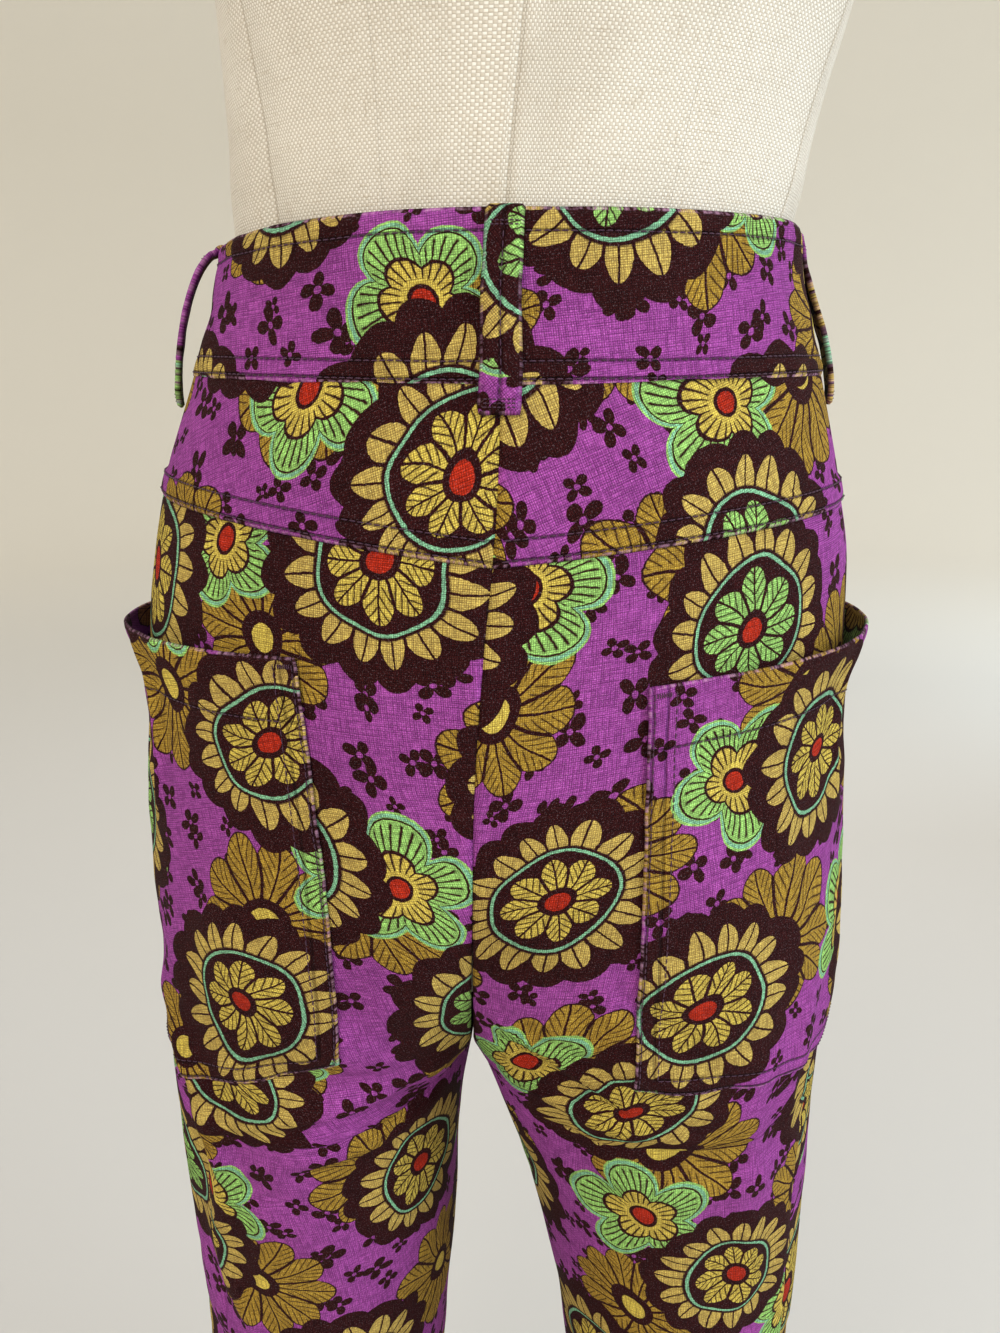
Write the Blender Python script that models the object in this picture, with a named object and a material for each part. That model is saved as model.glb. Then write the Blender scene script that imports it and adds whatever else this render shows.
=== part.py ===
"""Cropped linen trousers on a limbless dress form.

The trousers are walls of cloth in the shape that their cut pieces take when worn:
waistband, back yokes, back and front legs, fly, two pockets that wrap the outseams,
five belt loops and a waist button. A smooth form on a rod and a base holds them up.

Metres, +Z up. The back of the trousers faces -Y, the front +Y, the wearer's right
hand side is +X. The origin is on the floor, under the middle of the base.
"""

import math

import bpy
import numpy as np

# Thicknesses of cloth and the room between pieces
LEG_CLOTH = 0.0012
BAND_CLOTH = 0.0018
POCKET_CLOTH = 0.0012
LOOP_CLOTH = 0.0024
SEAM = 0.0003
LIFT = 0.0006
BAND_PROUD = 0.0006
YOKE_PROUD = 0.0003

# Heights above the floor
HEM = 0.110
CROTCH = 0.672
FORM_BOTTOM = 0.745
NECK_TOP = 1.505

# The seat: how far above the crotch the two halves become one round section
SEAT_RISE = 0.17
SEAT_CURVE = 1.25

# Seam lines round the body: height at the centre back, at each side, at the centre front.
# The band sits a little higher on the right.
YOKE_LINE = {"left": (0.926, 0.944), "right": (0.926, 0.941)}
BAND_LINE = {"left": (0.9880, 0.9920, 0.9830), "right": (0.9880, 0.9925, 0.9830)}
BAND_EDGE = {"left": (1.0445, 1.0415, 1.0330), "right": (1.0445, 1.0485, 1.0330)}

# Outer face of each half, from x = 0, and the depth behind and in front of y = 0.
# Above the band the rows are the form's own outline.
PROFILE_COLUMNS = ("height", "left", "right", "back", "front")
PROFILE = (
    (0.110, 0.1545, 0.1515, 0.0610, 0.0550),
    (0.200, 0.1560, 0.1530, 0.0635, 0.0560),
    (0.300, 0.1580, 0.1545, 0.0670, 0.0580),
    (0.400, 0.1605, 0.1565, 0.0720, 0.0620),
    (0.475, 0.1630, 0.1588, 0.0780, 0.0680),
    (0.533, 0.1633, 0.1612, 0.0850, 0.0740),
    (0.600, 0.1648, 0.1612, 0.0940, 0.0820),
    (0.672, 0.1655, 0.1608, 0.1050, 0.0930),
    (0.720, 0.1640, 0.1640, 0.1120, 0.1000),
    (0.760, 0.1635, 0.1632, 0.1190, 0.1030),
    (0.800, 0.1635, 0.1595, 0.1240, 0.1050),
    (0.840, 0.1618, 0.1575, 0.1245, 0.1070),
    (0.880, 0.1602, 0.1560, 0.1220, 0.1070),
    (0.925, 0.1540, 0.1535, 0.1160, 0.1050),
    (0.950, 0.1480, 0.1480, 0.1115, 0.1035),
    (0.988, 0.1335, 0.1385, 0.1045, 0.1010),
    (1.040, 0.1165, 0.1250, 0.0950, 0.0930),
    (1.070, 0.1120, 0.1256, 0.0915, 0.0925),
    (1.100, 0.1120, 0.1310, 0.0925, 0.0955),
    (1.127, 0.1132, 0.1382, 0.0940, 0.1000),
    (1.170, 0.1160, 0.1475, 0.0970, 0.1110),
    (1.210, 0.1195, 0.1540, 0.1010, 0.1230),
    (1.250, 0.1225, 0.1585, 0.1040, 0.1290),
    (1.290, 0.1240, 0.1610, 0.1060, 0.1220),
    (1.330, 0.1275, 0.1655, 0.1040, 0.1060),
    (1.365, 0.1370, 0.1750, 0.0970, 0.0880),
    (1.390, 0.1460, 0.1840, 0.0880, 0.0740),
    (1.405, 0.1410, 0.1790, 0.0800, 0.0640),
    (1.420, 0.1160, 0.1540, 0.0710, 0.0560),
    (1.432, 0.0810, 0.1190, 0.0620, 0.0510),
    (1.445, 0.0510, 0.0890, 0.0550, 0.0480),
    (1.460, 0.0380, 0.0760, 0.0510, 0.0470),
    (1.485, 0.0340, 0.0720, 0.0490, 0.0460),
    (1.505, 0.0330, 0.0710, 0.0480, 0.0460),
)

# Inner face of each leg, from x = 0 outwards
INSEAM_COLUMNS = ("height", "left", "right")
INSEAM = (
    (0.110, 0.0450, 0.0480),
    (0.200, 0.0430, 0.0465),
    (0.300, 0.0400, 0.0445),
    (0.400, 0.0355, 0.0410),
    (0.475, 0.0309, 0.0362),
    (0.533, 0.0264, 0.0265),
    (0.573, 0.0235, 0.0176),
    (0.600, 0.0217, 0.0110),
    (0.627, 0.0195, 0.0020),
    (0.672, 0.0130, -0.0130),
)

# The centre seam's x at each height: the trousers hang a little twisted
MIDDLE_COLUMNS = ("height", "x")
MIDDLE = (
    (0.672, -0.0130),
    (0.722, -0.0100),
    (0.789, -0.0076),
    (0.846, -0.0062),
    (0.893, -0.0030),
    (0.941, 0.0015),
    (0.988, 0.0030),
    (1.040, 0.0040),
    (1.070, 0.0065),
    (1.127, 0.0125),
    (1.210, 0.0170),
    (1.290, 0.0185),
    (1.505, 0.0190),
)

# The seams' angles from the centre back, in degrees: both turn backwards down the leg
SEAM_COLUMNS = ("height", "left_out", "right_out", "left_in", "right_in")
SEAMS = (
    (0.110, 52.0, 60.0, -126.0, -120.0),
    (0.300, 44.0, 54.0, -124.0, -118.0),
    (0.475, 38.0, 49.0, -118.0, -113.0),
    (0.600, 36.0, 48.0, -106.0, -103.0),
    (0.672, 40.0, 54.0, -90.0, -90.0),
    (0.740, 56.0, 66.0, -90.0, -90.0),
    (0.820, 74.0, 78.0, -90.0, -90.0),
    (0.900, 84.0, 85.0, -90.0, -90.0),
    (0.989, 88.0, 88.0, -90.0, -90.0),
)

# Heights of a back leg's rows of points at its centre edge
LEG_ROWS = (
    0.905, 0.880, 0.850, 0.820, 0.790, 0.760, 0.735, 0.714, 0.699, 0.689, 0.682,
    0.677, 0.674, 0.672, 0.658, 0.630, 0.600, 0.560, 0.518, 0.475, 0.420, 0.350,
    0.270, 0.190, HEM,
)
LEG_COLUMNS_BACK = 11
LEG_COLUMNS_FRONT = 12
YOKE_ROWS = 3

# Each pocket: inner edge's distance from x = 0 at mouth, middle and bottom, the mouth's and
# the bottom's height at inner edge, side and front edge, and the front edge's angle
POCKETS = {
    "left": {
        "inner": (0.0725, 0.0640, 0.0630),
        "mouth": (0.890, 0.8870, 0.889),
        "bottom": (0.722, 0.690, 0.690),
        "front_angle": 118.0,
    },
    "right": {
        "inner": (0.0570, 0.0570, 0.0578),
        "mouth": (0.881, 0.8870, 0.889),
        "bottom": (0.712, 0.696, 0.694),
        "front_angle": 118.0,
    },
}
POCKET_GAPE = 0.0085
POCKET_FULL = 0.0012
GAPE_DEPTH = 0.015

# Belt loops: name, side, angle from the centre back in degrees, how far that angle turns from
# top to foot, stand-off of the bow, its lowness (above 1 moves the bow down), and the foot's
# distance below the band's seam
LOOP_WIDTH = 0.0116
LOOPS = (
    ("belt_loop_back", "right", 0.0, 0.0, 0.0010, 1.0, 0.0105),
    ("belt_loop_side_left", "left", 79.0, -2.0, 0.0076, 0.72, 0.0140),
    ("belt_loop_side_right", "right", 88.0, -6.0, 0.0034, 1.3, 0.0130),
    ("belt_loop_front_left", "left", 142.0, 0.0, 0.0026, 1.0, 0.0105),
    ("belt_loop_front_right", "right", 142.0, 0.0, 0.0026, 1.0, 0.0105),
)
LOOP_RISE = 0.0005
LOOP_CLEAR = 0.0005

# Fly, band lap and button
FLY_WIDTH = 0.034
FLY_FOOT = 0.842
LAP_ANGLE = 13.0
LAP_CLEAR = 0.0006
BUTTON_RADIUS = 0.0085
BUTTON_THICK = 0.0028
BUTTON_ANGLE = 6.5

# Form, rod and base
FORM_CLEAR = 0.0022
ROD_RADIUS = 0.011
ROD_X = 0.086
SOCKET_RADIUS = 0.032
SOCKET_HEIGHT = 0.018
NECK_CENTRE = (0.019, 0.001)
BASE_RADIUS = 0.195
BASE_HEIGHT = 0.006
HUB_RADIUS = 0.026
HUB_HEIGHT = 0.034

COLOURS = {
    "print_linen": (0.24, 0.045, 0.29, 0.88, 0.0),
    "button": (0.09, 0.03, 0.05, 0.35, 0.0),
    "canvas": (0.66, 0.60, 0.50, 0.90, 0.0),
    "cap_wood": (0.33, 0.20, 0.10, 0.55, 0.0),
    "stand_metal": (0.055, 0.055, 0.06, 0.45, 0.9),
}

SIGN = {"left": -1.0, "right": 1.0}


def material(name):
    """A Principled material from a row of COLOURS: red, green, blue, roughness, metallic."""
    made = bpy.data.materials.get(name)
    if made is None:
        red, green, blue, roughness, metallic = COLOURS[name]
        made = bpy.data.materials.new(name)
        made.use_nodes = True
        shader = made.node_tree.nodes["Principled BSDF"]
        shader.inputs["Base Color"].default_value = (red, green, blue, 1.0)
        shader.inputs["Roughness"].default_value = roughness
        shader.inputs["Metallic"].default_value = metallic
        made.diffuse_color = (red, green, blue, 1.0)
    return made


def column(rows, names, name, height):
    """A table's column at any height, on a smooth curve through its rows."""
    table = np.array(rows, float)
    x, y = table[:, 0], table[:, names.index(name)]
    steps = np.diff(y) / np.diff(x)
    inner = (steps[:-1] * np.diff(x)[1:] + steps[1:] * np.diff(x)[:-1]) / (x[2:] - x[:-2])
    slope = np.concatenate([steps[:1], inner, steps[-1:]])
    at = np.clip(np.asarray(height, float), x[0], x[-1])
    i = np.clip(np.searchsorted(x, at, side="right") - 1, 0, len(x) - 2)
    wide = x[i + 1] - x[i]
    t = (at - x[i]) / wide
    rise = y[i + 1] - y[i]
    start, end = slope[i] * wide, slope[i + 1] * wide
    return y[i] + t * (start + t * ((3 * rise - 2 * start - end) + t * (start + end - 2 * rise)))


def half_section(side, height):
    """Centre, half-width and closeness (1 where the halves part) of one half's section."""
    outer = column(PROFILE, PROFILE_COLUMNS, side, height)
    middle = SIGN[side] * column(MIDDLE, MIDDLE_COLUMNS, "x", np.maximum(height, CROTCH))
    inner = column(INSEAM, INSEAM_COLUMNS, side, np.minimum(height, CROTCH))
    above = np.asarray(height) >= CROTCH
    rise = np.clip((np.asarray(height) - CROTCH) / SEAT_RISE, 0.0, 1.0)
    close = (1.0 - rise) ** SEAT_CURVE
    half = np.where(above, (outer - middle) / (1.0 + close), (outer - inner) / 2)
    centre = outer - half
    return centre, half, np.where(above, close, 1.0)


def first_angle(side, height):
    """Angle at which a back piece starts: at the centre seam, or at the inseam below it."""
    centre, half, close = half_section(side, height)
    inseam = np.radians(column(SEAMS, SEAM_COLUMNS, f"{side}_in", height))
    start = np.where(np.asarray(height) >= CROTCH, -np.arcsin(close), inseam)
    return start + SEAM / 2 / half


def last_angle(side, height):
    """Angle at which a front piece ends: at the centre front, or at the inseam below it."""
    first = first_angle(side, height)
    half = half_section(side, height)[1]
    return np.where(np.asarray(height) >= CROTCH, math.pi - first, 2 * math.pi + first - SEAM / half)


def face_point(side, angle, height):
    """A point on the garment's outer face: half an ellipse behind, half in front."""
    centre, half, close = half_section(side, height)
    back = column(PROFILE, PROFILE_COLUMNS, "back", height)
    front = column(PROFILE, PROFILE_COLUMNS, "front", height)
    out = centre + half * np.sin(angle) + SEAM / 2
    deep = np.where(np.cos(angle) > 0, back, front) * np.cos(angle)
    return np.stack([SIGN[side] * out, -deep, np.broadcast_to(height, out.shape)], -1)


def face_normal(side, angle, height):
    """The outward direction at a point of the outer face, from its two tangents."""
    small = 1e-4
    height = np.asarray(height, float)
    shift = np.where(np.abs(height - CROTCH) < 2 * small, 0.0, small)
    round_it = face_point(side, angle + small, height) - face_point(side, angle - small, height)
    up_it = face_point(side, angle, height + shift + 1e-7) - face_point(side, angle, height - shift)
    normal = np.cross(round_it, up_it) * SIGN[side]
    return normal / np.linalg.norm(normal, axis=-1, keepdims=True)


def cloth(side, angle, height, out):
    """Points of the outer face moved out by a distance, with the outward directions."""
    angle, height = np.broadcast_arrays(np.asarray(angle, float), np.asarray(height, float))
    normal = face_normal(side, angle, height)
    return face_point(side, angle, height) + normal * np.asarray(out)[..., None], normal


def outseam(side, height):
    """The outseam's angle from the centre back."""
    return np.radians(column(SEAMS, SEAM_COLUMNS, f"{side}_out", height))


def yoke_line(side, share):
    """Height of the yoke's seam, from the centre back to the outseam."""
    back, out = YOKE_LINE[side]
    return back + (out - back) * np.sin(np.asarray(share) * math.pi / 2)


def along(values, share):
    """Smooth values through two or three stations spread evenly over 0 to 1."""
    if len(values) == 2:
        return values[0] + (values[1] - values[0]) * share * share * (3 - 2 * share)
    a, b, c = values
    return a * (1 - share) * (1 - 2 * share) + b * 4 * share * (1 - share) + c * share * (2 * share - 1)


def band_height(line, side, angle):
    """Height of a seam line that runs right round, at an angle from the centre back."""
    back, side, front = line[side]
    turn = np.asarray(angle, float)
    behind = back + (side - back) * (1 - np.cos(2 * turn)) / 2
    ahead = front + (side - front) * (1 - np.cos(2 * turn)) / 2
    return np.where(turn < math.pi / 2, behind, ahead)


def grid_faces(rows, columns, start, flip):
    """Four-sided faces of a grid of points, turned over if flip."""
    faces = []
    for i in range(rows - 1):
        for j in range(columns - 1):
            a = start + i * columns + j
            face = (a, a + 1, a + columns + 1, a + columns)
            faces.append(face[::-1] if flip else face)
    return faces


def add_object(name, points, faces, finish):
    mesh = bpy.data.meshes.new(name)
    mesh.from_pydata([tuple(p) for p in points], [], faces)
    mesh.update()
    mesh.materials.append(material(finish))
    made = bpy.data.objects.new(name, mesh)
    bpy.context.scene.collection.objects.link(made)
    mesh.shade_smooth()
    mesh.set_sharp_from_angle(angle=math.radians(40))
    return made


def add_wall(name, outer, normals, thickness, finish="print_linen"):
    """A closed wall of cloth: the outer grid, the same grid moved in, and four rims."""
    rows, columns = outer.shape[:2]
    count = rows * columns
    inner = outer - normals * thickness
    across = outer[0, 1] - outer[0, 0]
    down = outer[1, 0] - outer[0, 0]
    flip = np.dot(np.cross(across, down), normals[0, 0]) < 0
    faces = grid_faces(rows, columns, 0, flip) + grid_faces(rows, columns, count, not flip)
    top = list(range(columns))
    right = [i * columns + columns - 1 for i in range(rows)]
    bottom = [(rows - 1) * columns + j for j in range(columns)][::-1]
    left = [i * columns for i in range(rows)][::-1]
    loop = top[:-1] + right[:-1] + bottom[:-1] + left[:-1]
    for a, b in zip(loop, loop[1:] + loop[:1]):
        face = (a, a + count, b + count, b)
        faces.append(face[::-1] if flip else face)
    points = np.concatenate([outer.reshape(-1, 3), inner.reshape(-1, 3)])
    return add_object(name, points, faces, finish)


def add_rings(name, rings, finish):
    """A closed solid through rings of points, from the lowest to the highest."""
    count = len(rings[0])
    faces = []
    for i in range(len(rings) - 1):
        for j in range(count):
            k = (j + 1) % count
            a, b = i * count, (i + 1) * count
            faces.append((a + j, a + k, b + k, b + j))
    faces.append(tuple(range(count))[::-1])
    last = (len(rings) - 1) * count
    faces.append(tuple(range(last, last + count)))
    return add_object(name, np.concatenate(rings), faces, finish)


def add_turned(name, profile, centre, finish, sides=48):
    """A turned solid: rings of the given radius and height round a vertical axis."""
    turn = np.arange(sides) * 2 * math.pi / sides
    rings = []
    for radius, height in profile:
        x = centre[0] + radius * np.cos(turn)
        y = centre[1] + radius * np.sin(turn)
        rings.append(np.stack([x, y, np.full(sides, height)], -1))
    return add_rings(name, rings, finish)


def leg_heights(top, rows):
    """Row heights: the top edge's own rise or fall fades out down to the crotch."""
    rows = np.asarray(rows)[:, None]
    fade = np.clip((rows - CROTCH) / (top[0] - CROTCH), 0.0, 1.0)
    return rows + (top - top[0])[None, :] * fade


def yoke(side):
    """Back yoke, from the waistband's seam down to the V-shaped yoke seam."""
    share = np.linspace(0.0, 1.0, LEG_COLUMNS_BACK + 1)
    line = yoke_line(side, share)
    low = line + SEAM / 2
    high = band_height(BAND_LINE, side, share * outseam(side, line)) - SEAM / 2
    drop = np.linspace(0.0, 1.0, YOKE_ROWS + 1)[:, None]
    height = high + (low - high) * drop
    start = first_angle(side, height[:, 0])[:, None]
    end = (outseam(side, height[:, -1]) - SEAM / 2 / half_section(side, height[:, -1])[1])[:, None]
    turn = start + (end - start) * share[None, :]
    outer, normal = cloth(side, turn, height, np.full(turn.shape, YOKE_PROUD))
    return add_wall(f"back_yoke_{side}", outer, normal, LEG_CLOTH)


def back_rows(side):
    """Angles and heights of a back leg's grid."""
    share = np.linspace(0.0, 1.0, LEG_COLUMNS_BACK + 1)
    top = yoke_line(side, share) - SEAM / 2
    height = leg_heights(top, (top[0],) + LEG_ROWS)
    start = first_angle(side, height[:, 0])[:, None]
    end = (outseam(side, height[:, -1]) - SEAM / 2 / half_section(side, height[:, -1])[1])[:, None]
    return start + (end - start) * share[None, :], height


def back_leg(side):
    angle, height = back_rows(side)
    outer, normal = cloth(side, angle, height, np.zeros(angle.shape))
    return add_wall(f"back_leg_{side}", outer, normal, LEG_CLOTH)


def front_leg(side):
    """Front leg, from the waistband to the hem: its rows meet the yoke's and back leg's."""
    back_height = back_rows(side)[1]
    low = yoke_line(side, 1.0)
    high = float(band_height(BAND_LINE, side, math.pi / 2)) - SEAM / 2
    at_side = np.concatenate([np.linspace(high, low, YOKE_ROWS + 1)[:-1], back_height[:, -1]])
    front_top = BAND_LINE[side][2] - SEAM / 2
    at_front = np.concatenate(
        [np.linspace(front_top, back_height[0, 0], YOKE_ROWS + 1)[:-1], back_height[:, 0]]
    )
    share = np.linspace(0.0, 1.0, LEG_COLUMNS_FRONT + 1)
    height = at_side[:, None] + (at_front - at_side)[:, None] * along((0.0, 1.0), share)[None, :]
    half = half_section(side, at_side)[1]
    start = (outseam(side, at_side) + SEAM / 2 / half)[:, None]
    end = last_angle(side, at_front)[:, None]
    angle = start + (end - start) * share[None, :]
    height[0] = band_height(BAND_LINE, side, angle[0]) - SEAM / 2
    outer, normal = cloth(side, angle, height, np.zeros(angle.shape))
    return add_wall(f"front_leg_{side}", outer, normal, LEG_CLOTH)


def round_waist(turn, height, out):
    """Points right round the waist: turn 0 at the back, plus to the right, past 180 laps over."""
    turn = np.asarray(turn, float)
    wrapped = np.where(turn > math.pi, turn - 2 * math.pi, turn)
    right, right_normal = cloth("right", np.abs(wrapped), height, out)
    left, left_normal = cloth("left", np.abs(wrapped), height, out)
    on_right = (wrapped >= 0)[..., None]
    return np.where(on_right, right, left), np.where(on_right, right_normal, left_normal)


def waist_height(line, turn):
    """Height of a seam line at a turn as in round_waist."""
    turn = np.asarray(turn, float)
    wrapped = np.where(turn > math.pi, turn - 2 * math.pi, turn)
    right = band_height(line, "right", np.abs(wrapped))
    return np.where(wrapped >= 0, right, band_height(line, "left", np.abs(wrapped)))


def waistband():
    """A contoured band whose right end laps over its left end at the front."""
    lap = math.radians(LAP_ANGLE)
    left = np.linspace(-math.pi + 0.003, 0.0, 19)
    right = np.linspace(0.0, math.pi - 0.16, 18)[1:]
    over = np.array([math.pi - 0.10, math.pi - 0.04, math.pi, math.pi + lap / 2, math.pi + lap])
    turn = np.concatenate([left, right, over])
    rise = np.clip((turn - (math.pi - 0.16)) / 0.12, 0.0, 1.0)
    out = BAND_PROUD + (BAND_CLOTH + LAP_CLEAR) * rise * rise * (3 - 2 * rise)
    low = waist_height(BAND_LINE, turn) + SEAM / 2
    high = waist_height(BAND_EDGE, turn)
    share = np.linspace(0.0, 1.0, 4)[:, None]
    height = low + (high - low) * share
    outer, normal = round_waist(
        np.broadcast_to(turn, height.shape), height, np.broadcast_to(out, height.shape)
    )
    return add_wall("waistband", outer, normal, BAND_CLOTH)


def belt_loop(name, side, angle, lean, stand, lowness, foot):
    """A strip over the band: caught at the top edge, bowed out, caught below the seam."""
    turn = math.radians(angle)
    high = float(band_height(BAND_EDGE, side, turn)) + LOOP_RISE
    low = float(band_height(BAND_LINE, side, turn)) - foot
    share = np.linspace(0.0, 1.0, 9)
    height = (high + (low - high) * share)[:, None]
    base = BAND_PROUD + LOOP_CLEAR + LOOP_CLOTH
    out = (base + stand * np.sin(math.pi * share**lowness) ** 0.8)[:, None]
    radius = float(half_section(side, high)[1])
    across = np.linspace(-0.5, 0.5, 4)[None, :] * LOOP_WIDTH / radius
    leaning = math.radians(lean) * (share - 0.5)[:, None]
    turns = np.broadcast_to(turn + across + leaning, (9, 4))
    heights = np.broadcast_to(height, (9, 4))
    outs = np.broadcast_to(out, (9, 4))
    if angle == 0.0:
        outer, normal = round_waist(turns, heights, outs)
    else:
        outer, normal = cloth(side, turns, heights, outs)
    return add_wall(name, outer, normal, LOOP_CLOTH)


def pocket_angle(side, distance, height):
    """Angle at which the section is this far from x = 0, behind."""
    centre, half, close = half_section(side, height)
    return np.arcsin(np.clip((distance - centre) / half, -1.0, 1.0))


def pocket(side):
    """A patch that wraps the outseam: stitched at its ends and foot, open and gaping above."""
    rows, columns = 12, 17
    size = POCKETS[side]
    share = np.linspace(0.0, 1.0, columns)[None, :]
    drop = (np.linspace(0.0, 1.0, rows) ** 1.25)[:, None]
    mouth, bottom = along(size["mouth"], share), along(size["bottom"], share)
    height = mouth + (bottom - mouth) * drop
    inner = along(size["inner"], drop)
    start = pocket_angle(side, inner, height[:, :1])
    angle = start + (math.radians(size["front_angle"]) - start) * share
    full = np.sin(math.pi * share)
    below = mouth - height
    gape = POCKET_GAPE * full ** 2 * np.exp(-((below / GAPE_DEPTH) ** 2))
    belly = POCKET_FULL * full * np.clip(np.sin(math.pi * (0.12 + 0.88 * drop)), 0.0, 1.0)
    outer, normal = cloth(side, angle, height, LIFT + POCKET_CLOTH + gape + belly)
    return add_wall(f"pocket_{side}", outer, normal, POCKET_CLOTH)


def fly():
    """The stitched fly on the right front, curving in to the centre seam at its foot."""
    share = np.linspace(0.0, 1.0, 8)[:, None]
    top = BAND_LINE["right"][2] - 0.0012
    height = top + (FLY_FOOT - top) * share
    width = FLY_WIDTH * np.sqrt(np.clip(1.0 - np.clip((share - 0.72) / 0.30, 0.0, 1.0) ** 2, 0.0, 1.0))
    half = half_section("right", height)[1]
    end = math.pi - first_angle("right", height) - 0.001
    across = np.linspace(1.0, 0.0, 6)[None, :]
    angle = end - across * width / half
    outer, normal = cloth("right", angle, height, np.full(angle.shape, LIFT + LEG_CLOTH))
    return add_wall("fly", outer, normal, LEG_CLOTH)


def button():
    """A domed disc that lies flat on the band's lap."""
    turn = math.pi + math.radians(BUTTON_ANGLE)
    height = (BAND_LINE["right"][2] + BAND_EDGE["right"][2]) / 2
    out = BAND_PROUD + BAND_CLOTH + LAP_CLEAR + SEAM
    point, normal = round_waist(np.array([turn]), np.array([height]), np.array([out]))
    centre, axis = point[0], normal[0]
    side = np.cross(axis, (0.0, 0.0, 1.0))
    side /= np.linalg.norm(side)
    up = np.cross(side, axis)
    round_it = np.arange(24) * 2 * math.pi / 24
    rings = []
    for radius, lift in ((0.88, 0.0), (1.0, 0.25), (1.0, 0.7), (0.86, 1.0), (0.6, 0.82)):
        x = (radius * BUTTON_RADIUS * np.cos(round_it))[:, None] * side
        z = (radius * BUTTON_RADIUS * np.sin(round_it))[:, None] * up
        rings.append(centre + x - z + axis * (lift * BUTTON_THICK))
    return add_rings("waist_button", rings, "button")


def form_ring(height, turns):
    """One level ring of the form: the body's section, set in where the trousers cover it."""
    cover = np.clip((1.068 - height) / 0.030, 0.0, 1.0)
    inset = (BAND_CLOTH + FORM_CLEAR) * cover * cover * (3 - 2 * cover)
    start = float(first_angle("right", height))
    angle = start + turns * (math.pi - 2 * start) / math.pi
    levels = np.full(angle.shape, height)
    right = cloth("right", angle, levels, np.full(angle.shape, -inset))[0]
    left = cloth("left", angle, levels, np.full(angle.shape, -inset))[0]
    ring = np.concatenate([right, left[::-1][1:-1]])
    ring[:, 2] = height
    return ring


def form():
    """The torso: rings from below the hips to the neck."""
    turns = np.linspace(0.0, math.pi, 21)
    levels = np.concatenate(
        [
            [FORM_BOTTOM, FORM_BOTTOM + 0.012],
            np.arange(0.785, 0.98, 0.030),
            np.arange(0.990, 1.09, 0.015),
            np.arange(1.110, 1.37, 0.030),
            [1.378, 1.390, 1.400, 1.410, 1.420, 1.430, 1.440, 1.452, 1.470, NECK_TOP],
        ]
    )
    return add_rings("form_torso", [form_ring(z, turns) for z in levels], "canvas")


def neck_cap():
    """A low wooden dome on the neck."""
    return add_turned(
        "form_neck_cap",
        [
            (0.046, NECK_TOP + SEAM),
            (0.050, NECK_TOP + 0.004),
            (0.049, NECK_TOP + 0.009),
            (0.040, NECK_TOP + 0.016),
            (0.022, NECK_TOP + 0.021),
            (0.006, NECK_TOP + 0.0225),
        ],
        NECK_CENTRE,
        "cap_wood",
        sides=32,
    )


def stand():
    """Socket under the form, rod down through the right leg, hub and round base."""
    socket_low = FORM_BOTTOM - SOCKET_HEIGHT - SEAM
    add_turned(
        "form_socket",
        [
            (ROD_RADIUS + 0.006, socket_low),
            (SOCKET_RADIUS, socket_low + 0.010),
            (SOCKET_RADIUS, FORM_BOTTOM - SEAM),
        ],
        (ROD_X, 0.0),
        "stand_metal",
        sides=24,
    )
    hub_top = BASE_HEIGHT + HUB_HEIGHT
    add_turned(
        "form_rod",
        [(ROD_RADIUS, hub_top + SEAM), (ROD_RADIUS, socket_low - SEAM)],
        (ROD_X, 0.0),
        "stand_metal",
        sides=20,
    )
    add_turned(
        "form_hub",
        [
            (HUB_RADIUS + 0.010, BASE_HEIGHT + SEAM),
            (HUB_RADIUS + 0.004, BASE_HEIGHT + 0.006),
            (HUB_RADIUS, BASE_HEIGHT + 0.014),
            (HUB_RADIUS - 0.004, hub_top - 0.002),
            (HUB_RADIUS - 0.008, hub_top),
        ],
        (ROD_X, 0.0),
        "stand_metal",
        sides=28,
    )
    add_turned(
        "form_base",
        [
            (BASE_RADIUS - 0.0010, 0.0),
            (BASE_RADIUS, 0.0010),
            (BASE_RADIUS, BASE_HEIGHT - 0.0020),
            (BASE_RADIUS - 0.0020, BASE_HEIGHT),
        ],
        (0.0, 0.0),
        "stand_metal",
        sides=72,
    )


def main():
    for old in list(bpy.data.objects):
        bpy.data.objects.remove(old)
    waistband()
    for side in SIGN:
        yoke(side)
        back_leg(side)
        front_leg(side)
        pocket(side)
    fly()
    for loop in LOOPS:
        belt_loop(*loop)
    button()
    form()
    neck_cap()
    stand()


main()
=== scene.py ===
import math

import bpy
import numpy as np
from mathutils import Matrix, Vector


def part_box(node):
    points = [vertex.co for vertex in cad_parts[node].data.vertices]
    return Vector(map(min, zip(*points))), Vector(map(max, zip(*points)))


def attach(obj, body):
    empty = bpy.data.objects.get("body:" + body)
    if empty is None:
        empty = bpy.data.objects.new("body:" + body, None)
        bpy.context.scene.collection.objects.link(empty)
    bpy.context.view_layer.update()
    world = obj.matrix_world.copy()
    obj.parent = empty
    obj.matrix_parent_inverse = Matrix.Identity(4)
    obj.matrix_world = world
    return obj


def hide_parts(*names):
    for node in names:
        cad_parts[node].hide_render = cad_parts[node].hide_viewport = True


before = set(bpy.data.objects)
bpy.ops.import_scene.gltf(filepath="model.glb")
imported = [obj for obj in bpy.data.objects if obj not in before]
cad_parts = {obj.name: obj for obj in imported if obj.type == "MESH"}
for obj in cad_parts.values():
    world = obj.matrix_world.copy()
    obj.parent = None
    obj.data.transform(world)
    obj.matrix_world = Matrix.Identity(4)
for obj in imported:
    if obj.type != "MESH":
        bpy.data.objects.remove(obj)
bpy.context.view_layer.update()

bl_info = {
    "name": "Cropped Linen Trousers",
    "version": (1, 0, 0),
    "blender": (4, 5, 0),
    "location": "View3D > Sidebar > Trousers",
    "description": "Dresses a limbless form in cropped printed linen trousers",
    "category": "Add Mesh",
}

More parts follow.
